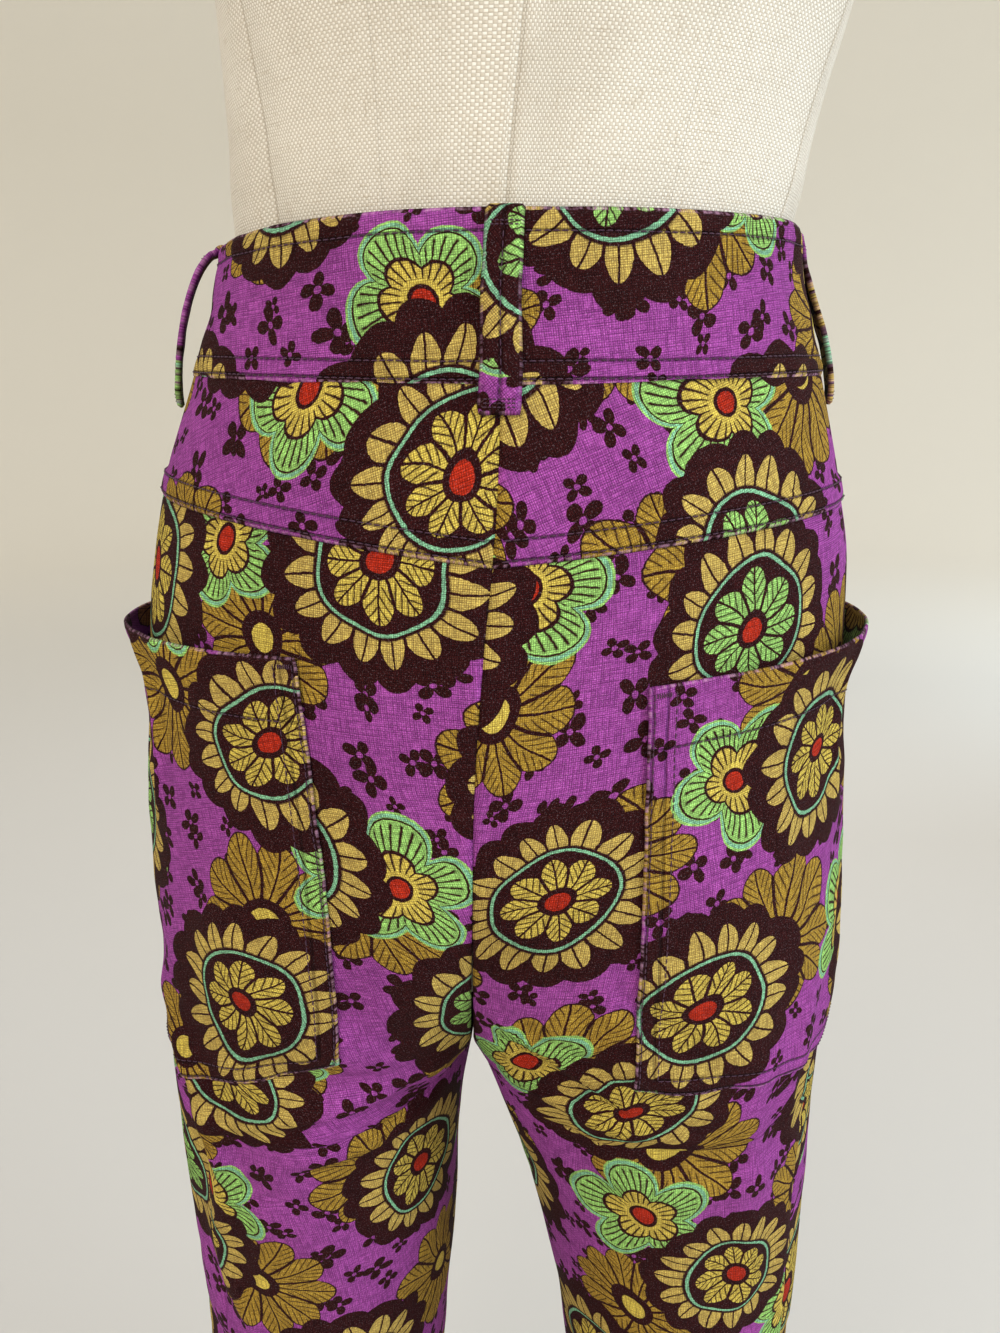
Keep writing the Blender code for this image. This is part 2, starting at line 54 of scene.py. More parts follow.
# ---------------------------------------------------------------- sizes, in metres

HEM = 0.110
CROTCH = 0.672
SEAT_RISE = 0.17
SEAT_CURVE = 1.25
SEAM = 0.0003
HEM_DEEP = 0.0205

# Thickness of each piece's wall, doubled cloth included
LEG_CLOTH = 0.0010
YOKE_CLOTH = 0.0013
BAND_CLOTH = 0.0018
POCKET_CLOTH = 0.0013
LOOP_CLOTH = 0.0024
# How far a pocket lies off its leg, and the band off what is sewn into it
LIFT = 0.0005
BAND_PROUD = 0.0006
# How far the legs and yokes reach up under the piece above
TUCK = 0.0045
# How far the band and the yokes reach below their seam lines
BAND_LAP = 0.0006
YOKE_LAP = 0.0004
# How far a wall's rim bulges, as a share of its thickness
ROUND_RIM = 0.5
# Stands for no stitch, seam or lapping edge near by
FAR = 0.05
# Seams rub pale less than folded edges do, as if they lay this much further off
SEAM_RUB = 0.0009

# Rows of stitches, from each piece's own edge
HEM_ROW = 0.019
YOKE_ROWS = (0.0013, 0.0085)
POCKET_ROWS = (0.0010, 0.0068)
BAND_ROWS_LOW = (0.0012, 0.0072)
BAND_ROW_HIGH = 0.0072
FLY_ROWS = (0.0016, 0.0078)

# About how wide and tall the pieces are, the step of the mesh's rows at their edges, and its
# pitch on the small pieces
LEG_WIDTH = {"back": 0.165, "front": 0.185}
LEG_STEP = 0.0006
YOKE_SIZE = (0.150, 0.066)
POCKET_SIZE = (0.175, 0.190)
BAND_SIZE = (0.74, 0.056)
SMALL_PITCH = 0.0017
EDGE_STEP = 0.0005

# Seam lines round the body: height at the centre back, at each side, at the centre front
YOKE_LINE = {"left": (0.926, 0.944), "right": (0.926, 0.941)}
BAND_LINE = {"left": (0.9880, 0.9920, 0.9830), "right": (0.9880, 0.9925, 0.9830)}
BAND_EDGE = {"left": (1.0445, 1.0415, 1.0330), "right": (1.0445, 1.0485, 1.0330)}

# Outer face of each half from x = 0, and the depth behind and in front of y = 0.
# Above the band the rows are the form's own outline.
PROFILE = (
    ("height", "left", "right", "back", "front"),
    (0.110, 0.1545, 0.1515, 0.0610, 0.0550),
    (0.200, 0.1560, 0.1530, 0.0635, 0.0560),
    (0.300, 0.1580, 0.1545, 0.0670, 0.0580),
    (0.400, 0.1605, 0.1565, 0.0720, 0.0620),
    (0.475, 0.1630, 0.1588, 0.0780, 0.0680),
    (0.533, 0.1633, 0.1612, 0.0850, 0.0740),
    (0.600, 0.1648, 0.1612, 0.0940, 0.0820),
    (0.672, 0.1655, 0.1608, 0.1050, 0.0930),
    (0.720, 0.1640, 0.1640, 0.1120, 0.1000),
    (0.760, 0.1635, 0.1632, 0.1190, 0.1030),
    (0.800, 0.1635, 0.1595, 0.1240, 0.1050),
    (0.840, 0.1618, 0.1575, 0.1245, 0.1070),
    (0.880, 0.1602, 0.1560, 0.1220, 0.1070),
    (0.925, 0.1540, 0.1535, 0.1160, 0.1050),
    (0.950, 0.1480, 0.1480, 0.1115, 0.1035),
    (0.988, 0.1335, 0.1385, 0.1045, 0.1010),
    (1.040, 0.1165, 0.1250, 0.0950, 0.0930),
    (1.070, 0.1120, 0.1256, 0.0915, 0.0925),
    (1.100, 0.1120, 0.1310, 0.0925, 0.0955),
    (1.127, 0.1132, 0.1382, 0.0940, 0.1000),
    (1.170, 0.1160, 0.1475, 0.0970, 0.1110),
    (1.210, 0.1195, 0.1540, 0.1010, 0.1230),
    (1.250, 0.1225, 0.1585, 0.1040, 0.1290),
    (1.290, 0.1240, 0.1610, 0.1060, 0.1220),
    (1.330, 0.1275, 0.1655, 0.1040, 0.1060),
    (1.365, 0.1370, 0.1750, 0.0970, 0.0880),
    (1.390, 0.1460, 0.1840, 0.0880, 0.0740),
    (1.405, 0.1410, 0.1790, 0.0800, 0.0640),
    (1.420, 0.1160, 0.1540, 0.0710, 0.0560),
    (1.432, 0.0810, 0.1190, 0.0620, 0.0510),
    (1.445, 0.0510, 0.0890, 0.0550, 0.0480),
    (1.460, 0.0380, 0.0760, 0.0510, 0.0470),
    (1.485, 0.0340, 0.0720, 0.0490, 0.0460),
    (1.505, 0.0330, 0.0710, 0.0480, 0.0460),
)

# Inner face of each leg from x = 0
INSEAM = (
    ("height", "left", "right"),
    (0.110, 0.0450, 0.0480),
    (0.200, 0.0430, 0.0465),
    (0.300, 0.0400, 0.0445),
    (0.400, 0.0355, 0.0410),
    (0.475, 0.0309, 0.0362),
    (0.533, 0.0264, 0.0265),
    (0.573, 0.0235, 0.0176),
    (0.600, 0.0217, 0.0110),
    (0.627, 0.0195, 0.0020),
    (0.672, 0.0130, -0.0130),
)

# The centre seam's x at each height
MIDDLE = (
    ("height", "x"),
    (0.672, -0.0130),
    (0.722, -0.0100),
    (0.789, -0.0076),
    (0.846, -0.0062),
    (0.893, -0.0030),
    (0.941, 0.0015),
    (0.988, 0.0030),
    (1.040, 0.0040),
    (1.070, 0.0065),
    (1.127, 0.0125),
    (1.210, 0.0170),
    (1.290, 0.0185),
    (1.505, 0.0190),
)

# The seams' angles from the centre back, in degrees
SEAMS = (
    ("height", "left_out", "right_out", "left_in", "right_in"),
    (0.110, 52.0, 60.0, -126.0, -120.0),
    (0.300, 44.0, 54.0, -124.0, -118.0),
    (0.475, 38.0, 49.0, -118.0, -113.0),
    (0.600, 36.0, 48.0, -106.0, -103.0),
    (0.672, 40.0, 54.0, -90.0, -90.0),
    (0.740, 56.0, 66.0, -90.0, -90.0),
    (0.820, 74.0, 78.0, -90.0, -90.0),
    (0.900, 84.0, 85.0, -90.0, -90.0),
    (0.989, 88.0, 88.0, -90.0, -90.0),
)

# Each pocket: inner edge's distance from x = 0 at mouth, middle and bottom, the mouth's and
# the bottom's height at inner edge, side and front edge, and the front edge's angle
POCKETS = {
    "left": {
        "inner": (0.0725, 0.0640, 0.0630),
        "mouth": (0.890, 0.8870, 0.889),
        "bottom": (0.722, 0.690, 0.690),
        "front_angle": 118.0,
    },
    "right": {
        "inner": (0.0570, 0.0570, 0.0578),
        "mouth": (0.881, 0.8870, 0.889),
        "bottom": (0.712, 0.696, 0.694),
        "front_angle": 118.0,
    },
}
POCKET_GAPE = 0.0085
POCKET_FULL = 0.0012
GAPE_DEPTH = 0.015
POCKET_HEM = 0.0235
# Width and height by which a stitch row's distance becomes a share of the pocket
POCKET_RUN = (0.172, 0.180)

# Belt loops: name, side, angle from the centre back in degrees, how far that angle turns from
# top to foot, stand-off of the bow, its lowness (above 1 moves the bow down), and the foot's
# distance below the band's seam
LOOP_WIDTH = 0.0116
LOOP_LENGTH = 0.066
# The share of a loop's length that wraps over the band's edge
LOOP_WRAP = 0.10
LOOPS = (
    ("belt_loop_back", "right", 0.0, 0.0, 0.0010, 1.0, 0.0105),
    ("belt_loop_side_left", "left", 79.0, -2.0, 0.0076, 0.72, 0.0140),
    ("belt_loop_side_right", "right", 88.0, -6.0, 0.0034, 1.3, 0.0130),
    ("belt_loop_front_left", "left", 142.0, 0.0, 0.0026, 1.0, 0.0105),
    ("belt_loop_front_right", "right", 142.0, 0.0, 0.0026, 1.0, 0.0105),
)

# The fly's foot curves in from one share of its length, over another
FLY_WIDTH = 0.034
FLY_FOOT = 0.842
FLY_CURVE = (0.72, 0.30)
LAP_ANGLE = 13.0
LAP_CLEAR = 0.0006
BUTTON_RADIUS = 0.0085
BUTTON_THICK = 0.0028
BUTTON_ANGLE = 6.5

# Each piece's cut: width and length laid flat between its seams, in metres, and the print's
# turn and shift on it, so that the design breaks at the seams. The legs' widths reach from the
# crotch point to the outseam, and the band's length is that of its lower edge.
CUT = {
    "back_leg_left": ((0.267, 0.853), 0.05, (0.31, 0.12)),
    "back_leg_right": ((0.290, 0.853), -0.04, (0.92, 0.47)),
    "front_leg_left": ((0.352, 0.900), -0.06, (0.55, 0.88)),
    "front_leg_right": ((0.346, 0.900), 0.08, (0.13, 0.29)),
    "back_yoke_left": ((0.205, 0.069), 0.42, (0.07, 0.64)),
    "back_yoke_right": ((0.205, 0.069), -0.30, (0.73, 0.21)),
    "pocket_left": ((0.230, 0.204), 0.22, (0.47, 0.36)),
    "pocket_right": ((0.230, 0.198), -0.16, (0.24, 0.90)),
    "waistband": ((0.790, 0.059), -0.10, (0.36, 0.71)),
    "belt_loop_back": ((0.0134, 0.0733), 0.90, (0.10, 0.55)),
    "belt_loop_side_left": ((0.0108, 0.0742), 2.48, (0.495, 0.55)),
    "belt_loop_side_right": ((0.0105, 0.0766), 2.66, (0.54, 0.55)),
    "belt_loop_front_left": ((0.0120, 0.0677), 3.74, (0.81, 0.55)),
    "belt_loop_front_right": ((0.0119, 0.0694), 3.74, (0.81, 0.55)),
    "fly": ((0.034, 0.150), 0.08, (0.13, 0.29)),
}

ROD_RADIUS = 0.011
ROD_X = 0.086

SIGN = {"left": -1.0, "right": 1.0}

# Folds in the cloth: angle from the centre back in degrees, height in mm, lean from the
# vertical in degrees, half length in mm, and in tenths of a mm the half width and the height
# of the ridge (a trough is minus)
FOLD_RISE = 1.9
POCKET_FOLD_RISE = 1.7
FOLDS = {
    "left": (
        # Seat and back thigh
        (-14, 800, 24, 50, 120, 12),
        (4, 770, 38, 55, 120, -16),
        (6, 738, 52, 50, 90, 14),
        (-8, 705, 62, 45, 80, -16),
        (2, 668, 74, 50, 85, 15),
        (18, 640, 84, 42, 80, -13),
        (30, 655, 14, 55, 75, 16),
        (20, 590, 8, 60, 100, -12),
        (37, 684, 24, 52, 75, 26),
        (47, 668, 18, 50, 80, -18),
        (25, 600, 4, 60, 70, 20),
        (40, 590, 6, 55, 80, -16),
        (-20, 692, 92, 40, 65, 27),
        (-18, 676, 86, 40, 60, -25),
        (-22, 660, 96, 38, 65, 24),
        (-26, 620, 12, 45, 80, -14),
        # Back of the knee
        (0, 512, 82, 60, 85, -20),
        (6, 486, 96, 55, 85, 16),
        (-4, 462, 86, 58, 80, -19),
        (10, 436, 78, 50, 85, 13),
        # Lower legs
        (20, 300, 6, 110, 110, 14),
        (-40, 260, -8, 110, 110, -14),
        (150, 260, 10, 110, 110, 13),
        # Front: drawn from the crotch, and over the knee
        (196, 742, -52, 50, 85, 16),
        (190, 718, -62, 50, 80, -15),
        (186, 692, -74, 48, 80, 15),
        (176, 664, -82, 45, 80, -13),
        (170, 500, -78, 50, 90, 13),
        (164, 470, -96, 45, 90, -12),
    ),
    "right": (
        # Seat and back thigh
        (-10, 790, -22, 50, 130, 12),
        (2, 748, -44, 55, 110, -15),
        (2, 712, -58, 48, 90, 15),
        (-6, 680, -68, 45, 80, -15),
        (12, 648, -80, 50, 90, 13),
        (34, 630, -6, 70, 80, 13),
        (8, 590, 4, 60, 110, -11),
        (-22, 722, -58, 32, 55, 22),
        (-22, 706, -70, 32, 55, -22),
        (-22, 690, -82, 32, 55, 20),
        (-4, 720, 6, 45, 70, 16),
        (-22, 650, -8, 45, 85, -15),
        (44, 700, -4, 50, 70, 15),
        (22, 610, 10, 55, 80, 14),
        # Back of the knee
        (2, 520, 96, 58, 85, -19),
        (-4, 494, 84, 55, 85, 16),
        (4, 470, 94, 60, 80, -19),
        (-8, 442, 100, 50, 85, 13),
        # Lower legs
        (-20, 310, -6, 110, 110, 14),
        (30, 250, 8, 110, 110, -14),
        (140, 270, -10, 110, 110, 13),
        # Front: drawn from the crotch, and over the knee
        (194, 748, 50, 50, 85, 16),
        (192, 722, 62, 50, 80, -15),
        (184, 696, 72, 48, 80, 15),
        (178, 668, 84, 45, 80, -13),
        (168, 505, 80, 50, 90, 13),
        (166, 474, 94, 45, 90, -12),
    ),
}

# Folds of the pockets alone, in the same columns
POCKET_FOLDS = {
    "left": (
        (62, 848, 4, 36, 55, 26),
        (74, 830, -6, 40, 60, -22),
        (40, 760, 10, 45, 90, -12),
        (50, 735, -30, 35, 70, 11),
        (96, 840, 8, 40, 70, 16),
    ),
    "right": (
        (66, 850, -6, 34, 60, 20),
        (80, 835, 6, 40, 60, -20),
        (44, 790, 14, 45, 90, 11),
        (60, 745, 34, 35, 70, -12),
        (98, 830, -8, 40, 70, 16),
    ),
}

# ---------------------------------------------------------------- settings


def srgb(red, green, blue):
    """A screen colour, 0 to 255, as the linear colour a shader takes."""
    shares = [value / 255 for value in (red, green, blue)]
    return tuple(s / 12.92 if s <= 0.04045 else ((s + 0.055) / 1.055) ** 2.4 for s in shares)


def colour_property(name, about, value):
    return bpy.props.FloatVectorProperty(
        name=name, description=about, subtype="COLOR", size=3, min=0.0, max=1.0, default=srgb(*value)
    )


def length_property(name, about, value, low, high):
    return bpy.props.FloatProperty(
        name=name, description=about, default=value, min=low, max=high, unit="LENGTH"
    )


def angle_property(name, about, degrees):
    return bpy.props.FloatProperty(
        name=name, description=about, default=math.radians(degrees), unit="ROTATION"
    )


class TrousersCloth(bpy.types.PropertyGroup):
    """What a user may change in the cloth."""

    pitch: length_property("Mesh pitch", "Distance between a leg's mesh rows", 0.0027, 0.001, 0.01)
    rumple: length_property("Rumple", "Height of the linen's small uneven rumples", 0.0011, 0.0, 0.003)
    stitch: length_property("Stitch", "Distance from one topstitch to the next", 0.0031, 0.001, 0.01)
    ground: colour_property("Ground", "Purple ground of the print", (190, 90, 188))
    dark: colour_property("Dark", "Maroon of the rosettes, outlines and florets", (60, 18, 20))
    ochre: colour_property("Ochre", "Ochre of the daisies", (206, 168, 64))
    yellow: colour_property("Yellow", "Yellow of throats and hearts", (254, 228, 102))
    lime: colour_property("Lime", "Lime green of the blooms", (188, 253, 136))
    mint: colour_property("Mint", "Pale green of the thin rings and rims", (160, 234, 184))
    gold: colour_property("Gold", "Gold of the rosettes' petals", (236, 206, 108))
    red: colour_property("Red", "Red of the flowers' middles", (214, 56, 30))
    thread: colour_property("Thread", "Colour of the topstitching", (52, 14, 44))


class TrousersForm(bpy.types.PropertyGroup):
    """What a user may change in the form and its stand."""

    canvas: colour_property("Canvas", "Cream cloth that covers the form", (253, 248, 238))
    wood: colour_property("Wood", "Neck cap's varnished wood", (150, 104, 60))
    metal: colour_property("Metal", "Painted rod, hub and base", (44, 43, 45))
    weave: length_property("Weave", "Distance between the cover's threads", 0.0011, 0.0002, 0.005)


class TrousersStage(bpy.types.PropertyGroup):
    """What a user may change in the room, the lights and the camera."""

    wall: colour_property("Wall", "Floor and walls of the round room", (229, 223, 210))
    radius: length_property("Room radius", "Radius of the round room", 9.0, 6.0, 30.0)
    key: bpy.props.FloatProperty(
        name="Key light", description="Power of the window light", default=22.0, min=0.0, unit="POWER"
    )
    place: bpy.props.FloatVectorProperty(
        name="Camera",
        description="Where the camera stands",
        default=(0.012, -0.462, 0.985),
        size=3,
        subtype="TRANSLATION",
        unit="LENGTH",
    )
    tilt: angle_property("Tilt", "Camera's angle below the horizon", 15.4)
    turn: angle_property("Turn", "Camera's angle to its left", 1.5)


# ---------------------------------------------------------------- the worn surface


def column(table, name, height):
    """A table's column at any height, on a smooth curve through its rows."""
    names, *rows = table
    rows = np.array(rows, float)
    x, y = rows[:, 0], rows[:, names.index(name)]
    steps = np.diff(y) / np.diff(x)
    inner = (steps[:-1] * np.diff(x)[1:] + steps[1:] * np.diff(x)[:-1]) / (x[2:] - x[:-2])
    slope = np.concatenate([steps[:1], inner, steps[-1:]])
    at = np.clip(np.asarray(height, float), x[0], x[-1])
    i = np.clip(np.searchsorted(x, at, side="right") - 1, 0, len(x) - 2)
    wide = x[i + 1] - x[i]
    t = (at - x[i]) / wide
    rise = y[i + 1] - y[i]
    start, end = slope[i] * wide, slope[i + 1] * wide
    return y[i] + t * (start + t * ((3 * rise - 2 * start - end) + t * (start + end - 2 * rise)))


def unit(vectors):
    """Vectors brought to a length of 1."""
    return vectors / np.maximum(np.linalg.norm(vectors, axis=-1, keepdims=True), 1e-12)


def run_along(points):
    """Distances run along a line of points, from 0 at the first one."""
    return np.concatenate([[0.0], np.linalg.norm(np.diff(points, axis=0), axis=-1).cumsum()])


def half_section(side, height):
    """Centre, half-width and closeness (1 where the halves part) of one half's section."""
    outer = column(PROFILE, side, height)
    middle = SIGN[side] * column(MIDDLE, "x", np.maximum(height, CROTCH))
    inner = column(INSEAM, side, np.minimum(height, CROTCH))
    above = np.asarray(height) >= CROTCH
    rise = np.clip((np.asarray(height) - CROTCH) / SEAT_RISE, 0.0, 1.0)
    close = (1.0 - rise) ** SEAT_CURVE
    half = np.where(above, (outer - middle) / (1.0 + close), (outer - inner) / 2)
    return outer - half, half, np.where(above, close, 1.0)


def first_angle(side, height):
    """Angle at which a back piece starts: at the centre seam, or at the inseam below it."""
    half, close = half_section(side, height)[1:]
    inseam = np.radians(column(SEAMS, f"{side}_in", height))
    start = np.where(np.asarray(height) >= CROTCH, -np.arcsin(close), inseam)
    return start + SEAM / 2 / half


def last_angle(side, height):
    """Angle at which a front piece ends: at the centre front, or at the inseam below it."""
    first = first_angle(side, height)
    half = half_section(side, height)[1]
    return np.where(np.asarray(height) >= CROTCH, math.pi - first, 2 * math.pi + first - SEAM / half)


def face_point(side, angle, height):
    """A point on the garment's outer face: half an ellipse behind, half in front."""
    centre, half = half_section(side, height)[:2]
    back = column(PROFILE, "back", height)
    front = column(PROFILE, "front", height)
    out = centre + half * np.sin(angle) + SEAM / 2
    deep = np.where(np.cos(angle) > 0, back, front) * np.cos(angle)
    return np.stack([SIGN[side] * out, -deep, np.broadcast_to(height, out.shape)], -1)


def face_normal(side, angle, height):
    """The outward direction at a point of the outer face, from its two tangents."""
    small = 1e-4
    height = np.asarray(height, float)
    shift = np.where(np.abs(height - CROTCH) < 2 * small, 0.0, small)
    round_it = face_point(side, angle + small, height) - face_point(side, angle - small, height)
    up_it = face_point(side, angle, height + shift + 1e-7) - face_point(side, angle, height - shift)
    return unit(np.cross(round_it, up_it) * SIGN[side])


def cloth(side, angle, height, out):
    """Points of the outer face moved out by a distance, with the outward directions."""
    angle, height = np.broadcast_arrays(np.asarray(angle, float), np.asarray(height, float))
    normal = face_normal(side, angle, height)
    return face_point(side, angle, height) + normal * np.asarray(out)[..., None], normal


def outseam(side, height):
    """The outseam's angle from the centre back."""
    return np.radians(column(SEAMS, f"{side}_out", height))


def yoke_line(side, share):
    """Height of the yoke's seam, from the centre back to the outseam."""
    back, out = YOKE_LINE[side]
    return back + (out - back) * np.sin(np.asarray(share) * math.pi / 2)


def along(values, share):
    """Smooth values through three stations spread evenly over 0 to 1."""
    a, b, c = values
    return a * (1 - share) * (1 - 2 * share) + b * 4 * share * (1 - share) + c * share * (2 * share - 1)


def band_height(line, side, angle):
    """Height of a seam line that runs right round, at an angle from the centre back."""
    back, out, front = line[side]
    turn = np.asarray(angle, float)
    behind = back + (out - back) * (1 - np.cos(2 * turn)) / 2
    ahead = front + (out - front) * (1 - np.cos(2 * turn)) / 2
    return np.where(turn < math.pi / 2, behind, ahead)


def from_back(turn):
    """A turn round the waist, brought to the range from -180 to 180 degrees."""
    turn = np.asarray(turn, float)
    return np.where(turn > math.pi, turn - 2 * math.pi, turn)


def round_waist(turn, height, out):
    """Points right round the waist: turn 0 at the back, plus to the right, past 180 laps over."""
    turn = from_back(turn)
    right, left = (cloth(side, np.abs(turn), height, out) for side in ("right", "left"))
    on_right = (turn >= 0)[..., None]
    return tuple(np.where(on_right, a, b) for a, b in zip(right, left))


def waist_height(line, turn):
    """Height of a seam line at a turn as in round_waist."""
    turn = from_back(turn)
    right, left = (band_height(line, side, np.abs(turn)) for side in ("right", "left"))
    return np.where(turn >= 0, right, left)


# ---------------------------------------------------------------- folds and rumples


def smooth_step(low, high, value):
    """0 below low, 1 above high, and smooth between."""
    t = np.clip((value - low) / (high - low), 0.0, 1.0)
    return t * t * (3 - 2 * t)


def bell(distance, width):
    """1 at no distance, fading off on both sides as a bell curve of a width."""
    return np.exp(-((distance / width) ** 2))


def uneven(x, y, size, seed):
    """Smooth unevenness from -1 to 1: hashed corner values of a square lattice, blended."""
    x, y = np.asarray(x) / size + seed * 7.31, np.asarray(y) / size + seed * 3.17
    i, j = np.floor(x), np.floor(y)
    u, v = x - i, y - j
    u, v = u * u * (3 - 2 * u), v * v * (3 - 2 * v)

    def corner(a, b):
        value = np.sin(a * 127.1 + b * 311.7 + seed * 74.7) * 43758.5453
        return 2 * (value - np.floor(value)) - 1

    low = corner(i, j) * (1 - u) + corner(i + 1, j) * u
    high = corner(i, j + 1) * (1 - u) + corner(i + 1, j + 1) * u
    return low * (1 - v) + high * v


def folds(table, side, angle, height):
    """Sum of soft ridges: each is a bell across its line, with a slight dip on each side."""
    total = np.zeros(np.broadcast(angle, height).shape)
    for place, level, lean, length, width, rise in table[side]:
        level, length, width, rise = level / 1000, length / 1000, width / 10000, rise / 10000
        radius = half_section(side, level)[1] * 0.92
        turn = (angle - math.radians(place) + math.pi) % (2 * math.pi) - math.pi
        x, z = turn * radius, height - level
        lean = math.radians(lean)
        run = x * math.sin(lean) + z * math.cos(lean)
        across = x * math.cos(lean) - z * math.sin(lean)
        across = across + 0.006 * np.sin(run / 0.022 + level * 40)
        ridge = bell(across, width) - 0.35 * bell(across, 2.1 * width)
        total += rise * ridge * np.exp(-((run / length) ** 4))
    return total


def drape(side, angle, height):
    """How far the worn cloth stands off its plain section: folds and small rumples."""
    rumple = settings().cloth.rumple
    # Turns are counted from -90 to 270 degrees, so the inseam's two edges read the same rumples
    arc = np.sin(angle) * 0.09
    deep = np.cos(angle) * 0.09
    seed = 1.0 if side == "left" else 2.0
    small = uneven(arc + height * 0.3, height, 0.021, seed) * uneven(deep, height, 0.034, seed + 3)
    wide = uneven(arc, height, 0.075, seed + 1) + uneven(deep, height, 0.06, seed + 5)
    loose = 1.0 - 0.55 * smooth_step(0.86, 0.95, height)
    crease = FOLD_RISE * folds(FOLDS, side, angle, height)
    return (rumple * (small + 0.55 * wide)) * loose + crease * loose


# ---------------------------------------------------------------- meshes


def settings():
    return bpy.context.scene.trousers


def graded(length, pitch, fine):
    """Shares from 0 to 1 along a length: fine steps at both ends that widen to the pitch."""
    steps = [fine]
    while steps[-1] * 1.5 < pitch:
        steps.append(steps[-1] * 1.5)
    middle = max(length - 2 * sum(steps), pitch)
    count = max(1, round(middle / pitch))
    at = np.concatenate([[0.0], np.cumsum(steps + [middle / count] * count + steps[::-1])])
    return at / at[-1]


def finish_of(make):
    """A material by its maker's name, made at its first use."""
    return bpy.data.materials.get(make.__name__) or make()


def new_object(name, data):
    made = bpy.data.objects.new(name, data)
    bpy.context.scene.collection.objects.link(made)
    return made


def stand_in_scene(mesh, make, nodes):
    """Puts a finished mesh into the scene, on the root body and in place of its CAD nodes."""
    made = new_object(mesh.name, mesh)
    mesh.materials.append(finish_of(make))
    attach(made, "root")
    if nodes:
        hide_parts(*nodes)
    return made


def mesh_of(name, points, faces):
    """A smooth-shaded mesh from an array of points and an array of four-sided faces."""
    mesh = bpy.data.meshes.new(name)
    points, faces = np.asarray(points, np.float32), np.asarray(faces, np.int32)
    mesh.vertices.add(len(points))
    mesh.vertices.foreach_set("co", points.ravel())
    mesh.loops.add(faces.size)
    mesh.loops.foreach_set("vertex_index", faces.ravel())
    mesh.polygons.add(len(faces))
    mesh.polygons.foreach_set("loop_start", np.arange(len(faces), dtype=np.int32) * faces.shape[1])
    mesh.update(calc_edges=True)
    mesh.validate()
    mesh.shade_smooth()
    return mesh


def store(mesh, name, values):
    """Keeps three numbers a point on a mesh, for its material to read."""
    made = mesh.attributes.new(name, "FLOAT_VECTOR", "POINT")
    made.data.foreach_set("vector", values.astype(np.float32).ravel())


def store_cut(mesh, measure, close=lambda corners: corners):
    """Keeps a flat measure a point on a mesh's corners, as the layer that the print reads."""
    corners = np.empty(len(mesh.loops), np.int32)
    mesh.loops.foreach_get("vertex_index", corners)
    layer = mesh.uv_layers.new(name="cut")
    layer.uv.foreach_set("vector", close(measure[corners]).astype(np.float32).ravel())


def grid_quads(rows, columns, wrap=False):
    """Faces of a grid of points, joined up round its columns if wrap."""
    i, j = np.meshgrid(np.arange(rows - 1), np.arange(columns if wrap else columns - 1), indexing="ij")
    k = (j + 1) % columns
    a, b = i * columns + j, i * columns + k
    return np.stack([a, b, b + columns, a + columns], -1).reshape(-1, 4)


def border(rows, columns):
    """Indices round a grid's edge, each once, in order."""
    top = np.arange(columns)
    right = np.arange(1, rows) * columns + columns - 1
    bottom = (rows - 1) * columns + np.arange(columns - 1)[::-1]
    left = np.arange(1, rows - 1)[::-1] * columns
    return np.concatenate([top, right, bottom, left])


def cloth_wall(name, outer, normals, thickness, uv, rows_from, edge_from, below):
    """A closed wall of cloth: the outer grid, the same grid moved in, and a rounded rim.

    uv is the cut piece's own flat measure in metres at each point, rows_from the signed
    distances to three rows of stitches, edge_from the distance to the nearest fold edge, and
    below the distance from the edge of the piece that laps over this one.
    """
    rows, columns = outer.shape[:2]
    count = rows * columns
    inner = outer - normals * thickness
    quads = grid_quads(rows, columns)
    across, down = outer[0, 1] - outer[0, 0], outer[1, 0] - outer[0, 0]
    flip = np.dot(np.cross(across, down), normals[0, 0]) < 0
    loop = border(rows, columns)
    # A border point's way out of the sheet is away from its inner neighbour
    i, j = loop // columns, loop % columns
    near = np.clip(i, 1, rows - 2) * columns + np.clip(j, 1, columns - 2)
    flat_outer, flat_normal = outer.reshape(-1, 3), normals.reshape(-1, 3)
    way = flat_outer[loop] - flat_outer[near]
    way -= flat_normal[loop] * (way * flat_normal[loop]).sum(-1, keepdims=True)
    middle = flat_outer[loop] - flat_normal[loop] * thickness / 2
    middle = middle + unit(way) * thickness * ROUND_RIM
    points = np.concatenate([flat_outer, inner.reshape(-1, 3), middle])
    a, b = loop, np.roll(loop, -1)
    m = 2 * count + np.arange(len(loop))
    n = np.roll(m, -1)
    rim = np.concatenate([np.stack([a, m, n, b], -1), np.stack([m, a + count, b + count, n], -1)])
    if flip:
        quads, rim = quads[:, ::-1], rim[:, ::-1]
    faces = np.concatenate([quads, (quads + count)[:, ::-1], rim])
    mesh = mesh_of(name, points, faces)

    def spread(values):
        values = np.asarray(values, float).reshape(count, -1)
        return np.concatenate([values, values, values[loop]])

    store_cut(mesh, spread(uv))
    store(mesh, "stitch_rows", spread(rows_from))
    inside = np.concatenate([np.zeros(count), np.ones(count), np.full(len(loop), 0.5)])
    edge = spread(edge_from)[:, 0]
    below = spread(np.broadcast_to(below, (rows, columns)))[:, 0]
    store(mesh, "trim", np.stack([edge, inside, below], -1))
    return mesh


def flat_measure(points, turn, shift):
    """The cut piece's flat measure: distance along each row from its middle, and up the piece,
    turned and shifted as the print is on that piece."""
    middle = points.shape[1] // 2
    steps = np.linalg.norm(np.diff(points, axis=1), axis=-1)
    across = np.concatenate([np.zeros((len(points), 1)), steps.cumsum(1)], 1)
    across -= across[:, middle][:, None]
    up = -run_along(points[:, middle])[:, None]
    c, s = math.cos(turn), math.sin(turn)
    return np.stack([across * c - up * s + shift[0], across * s + up * c + shift[1]], -1)


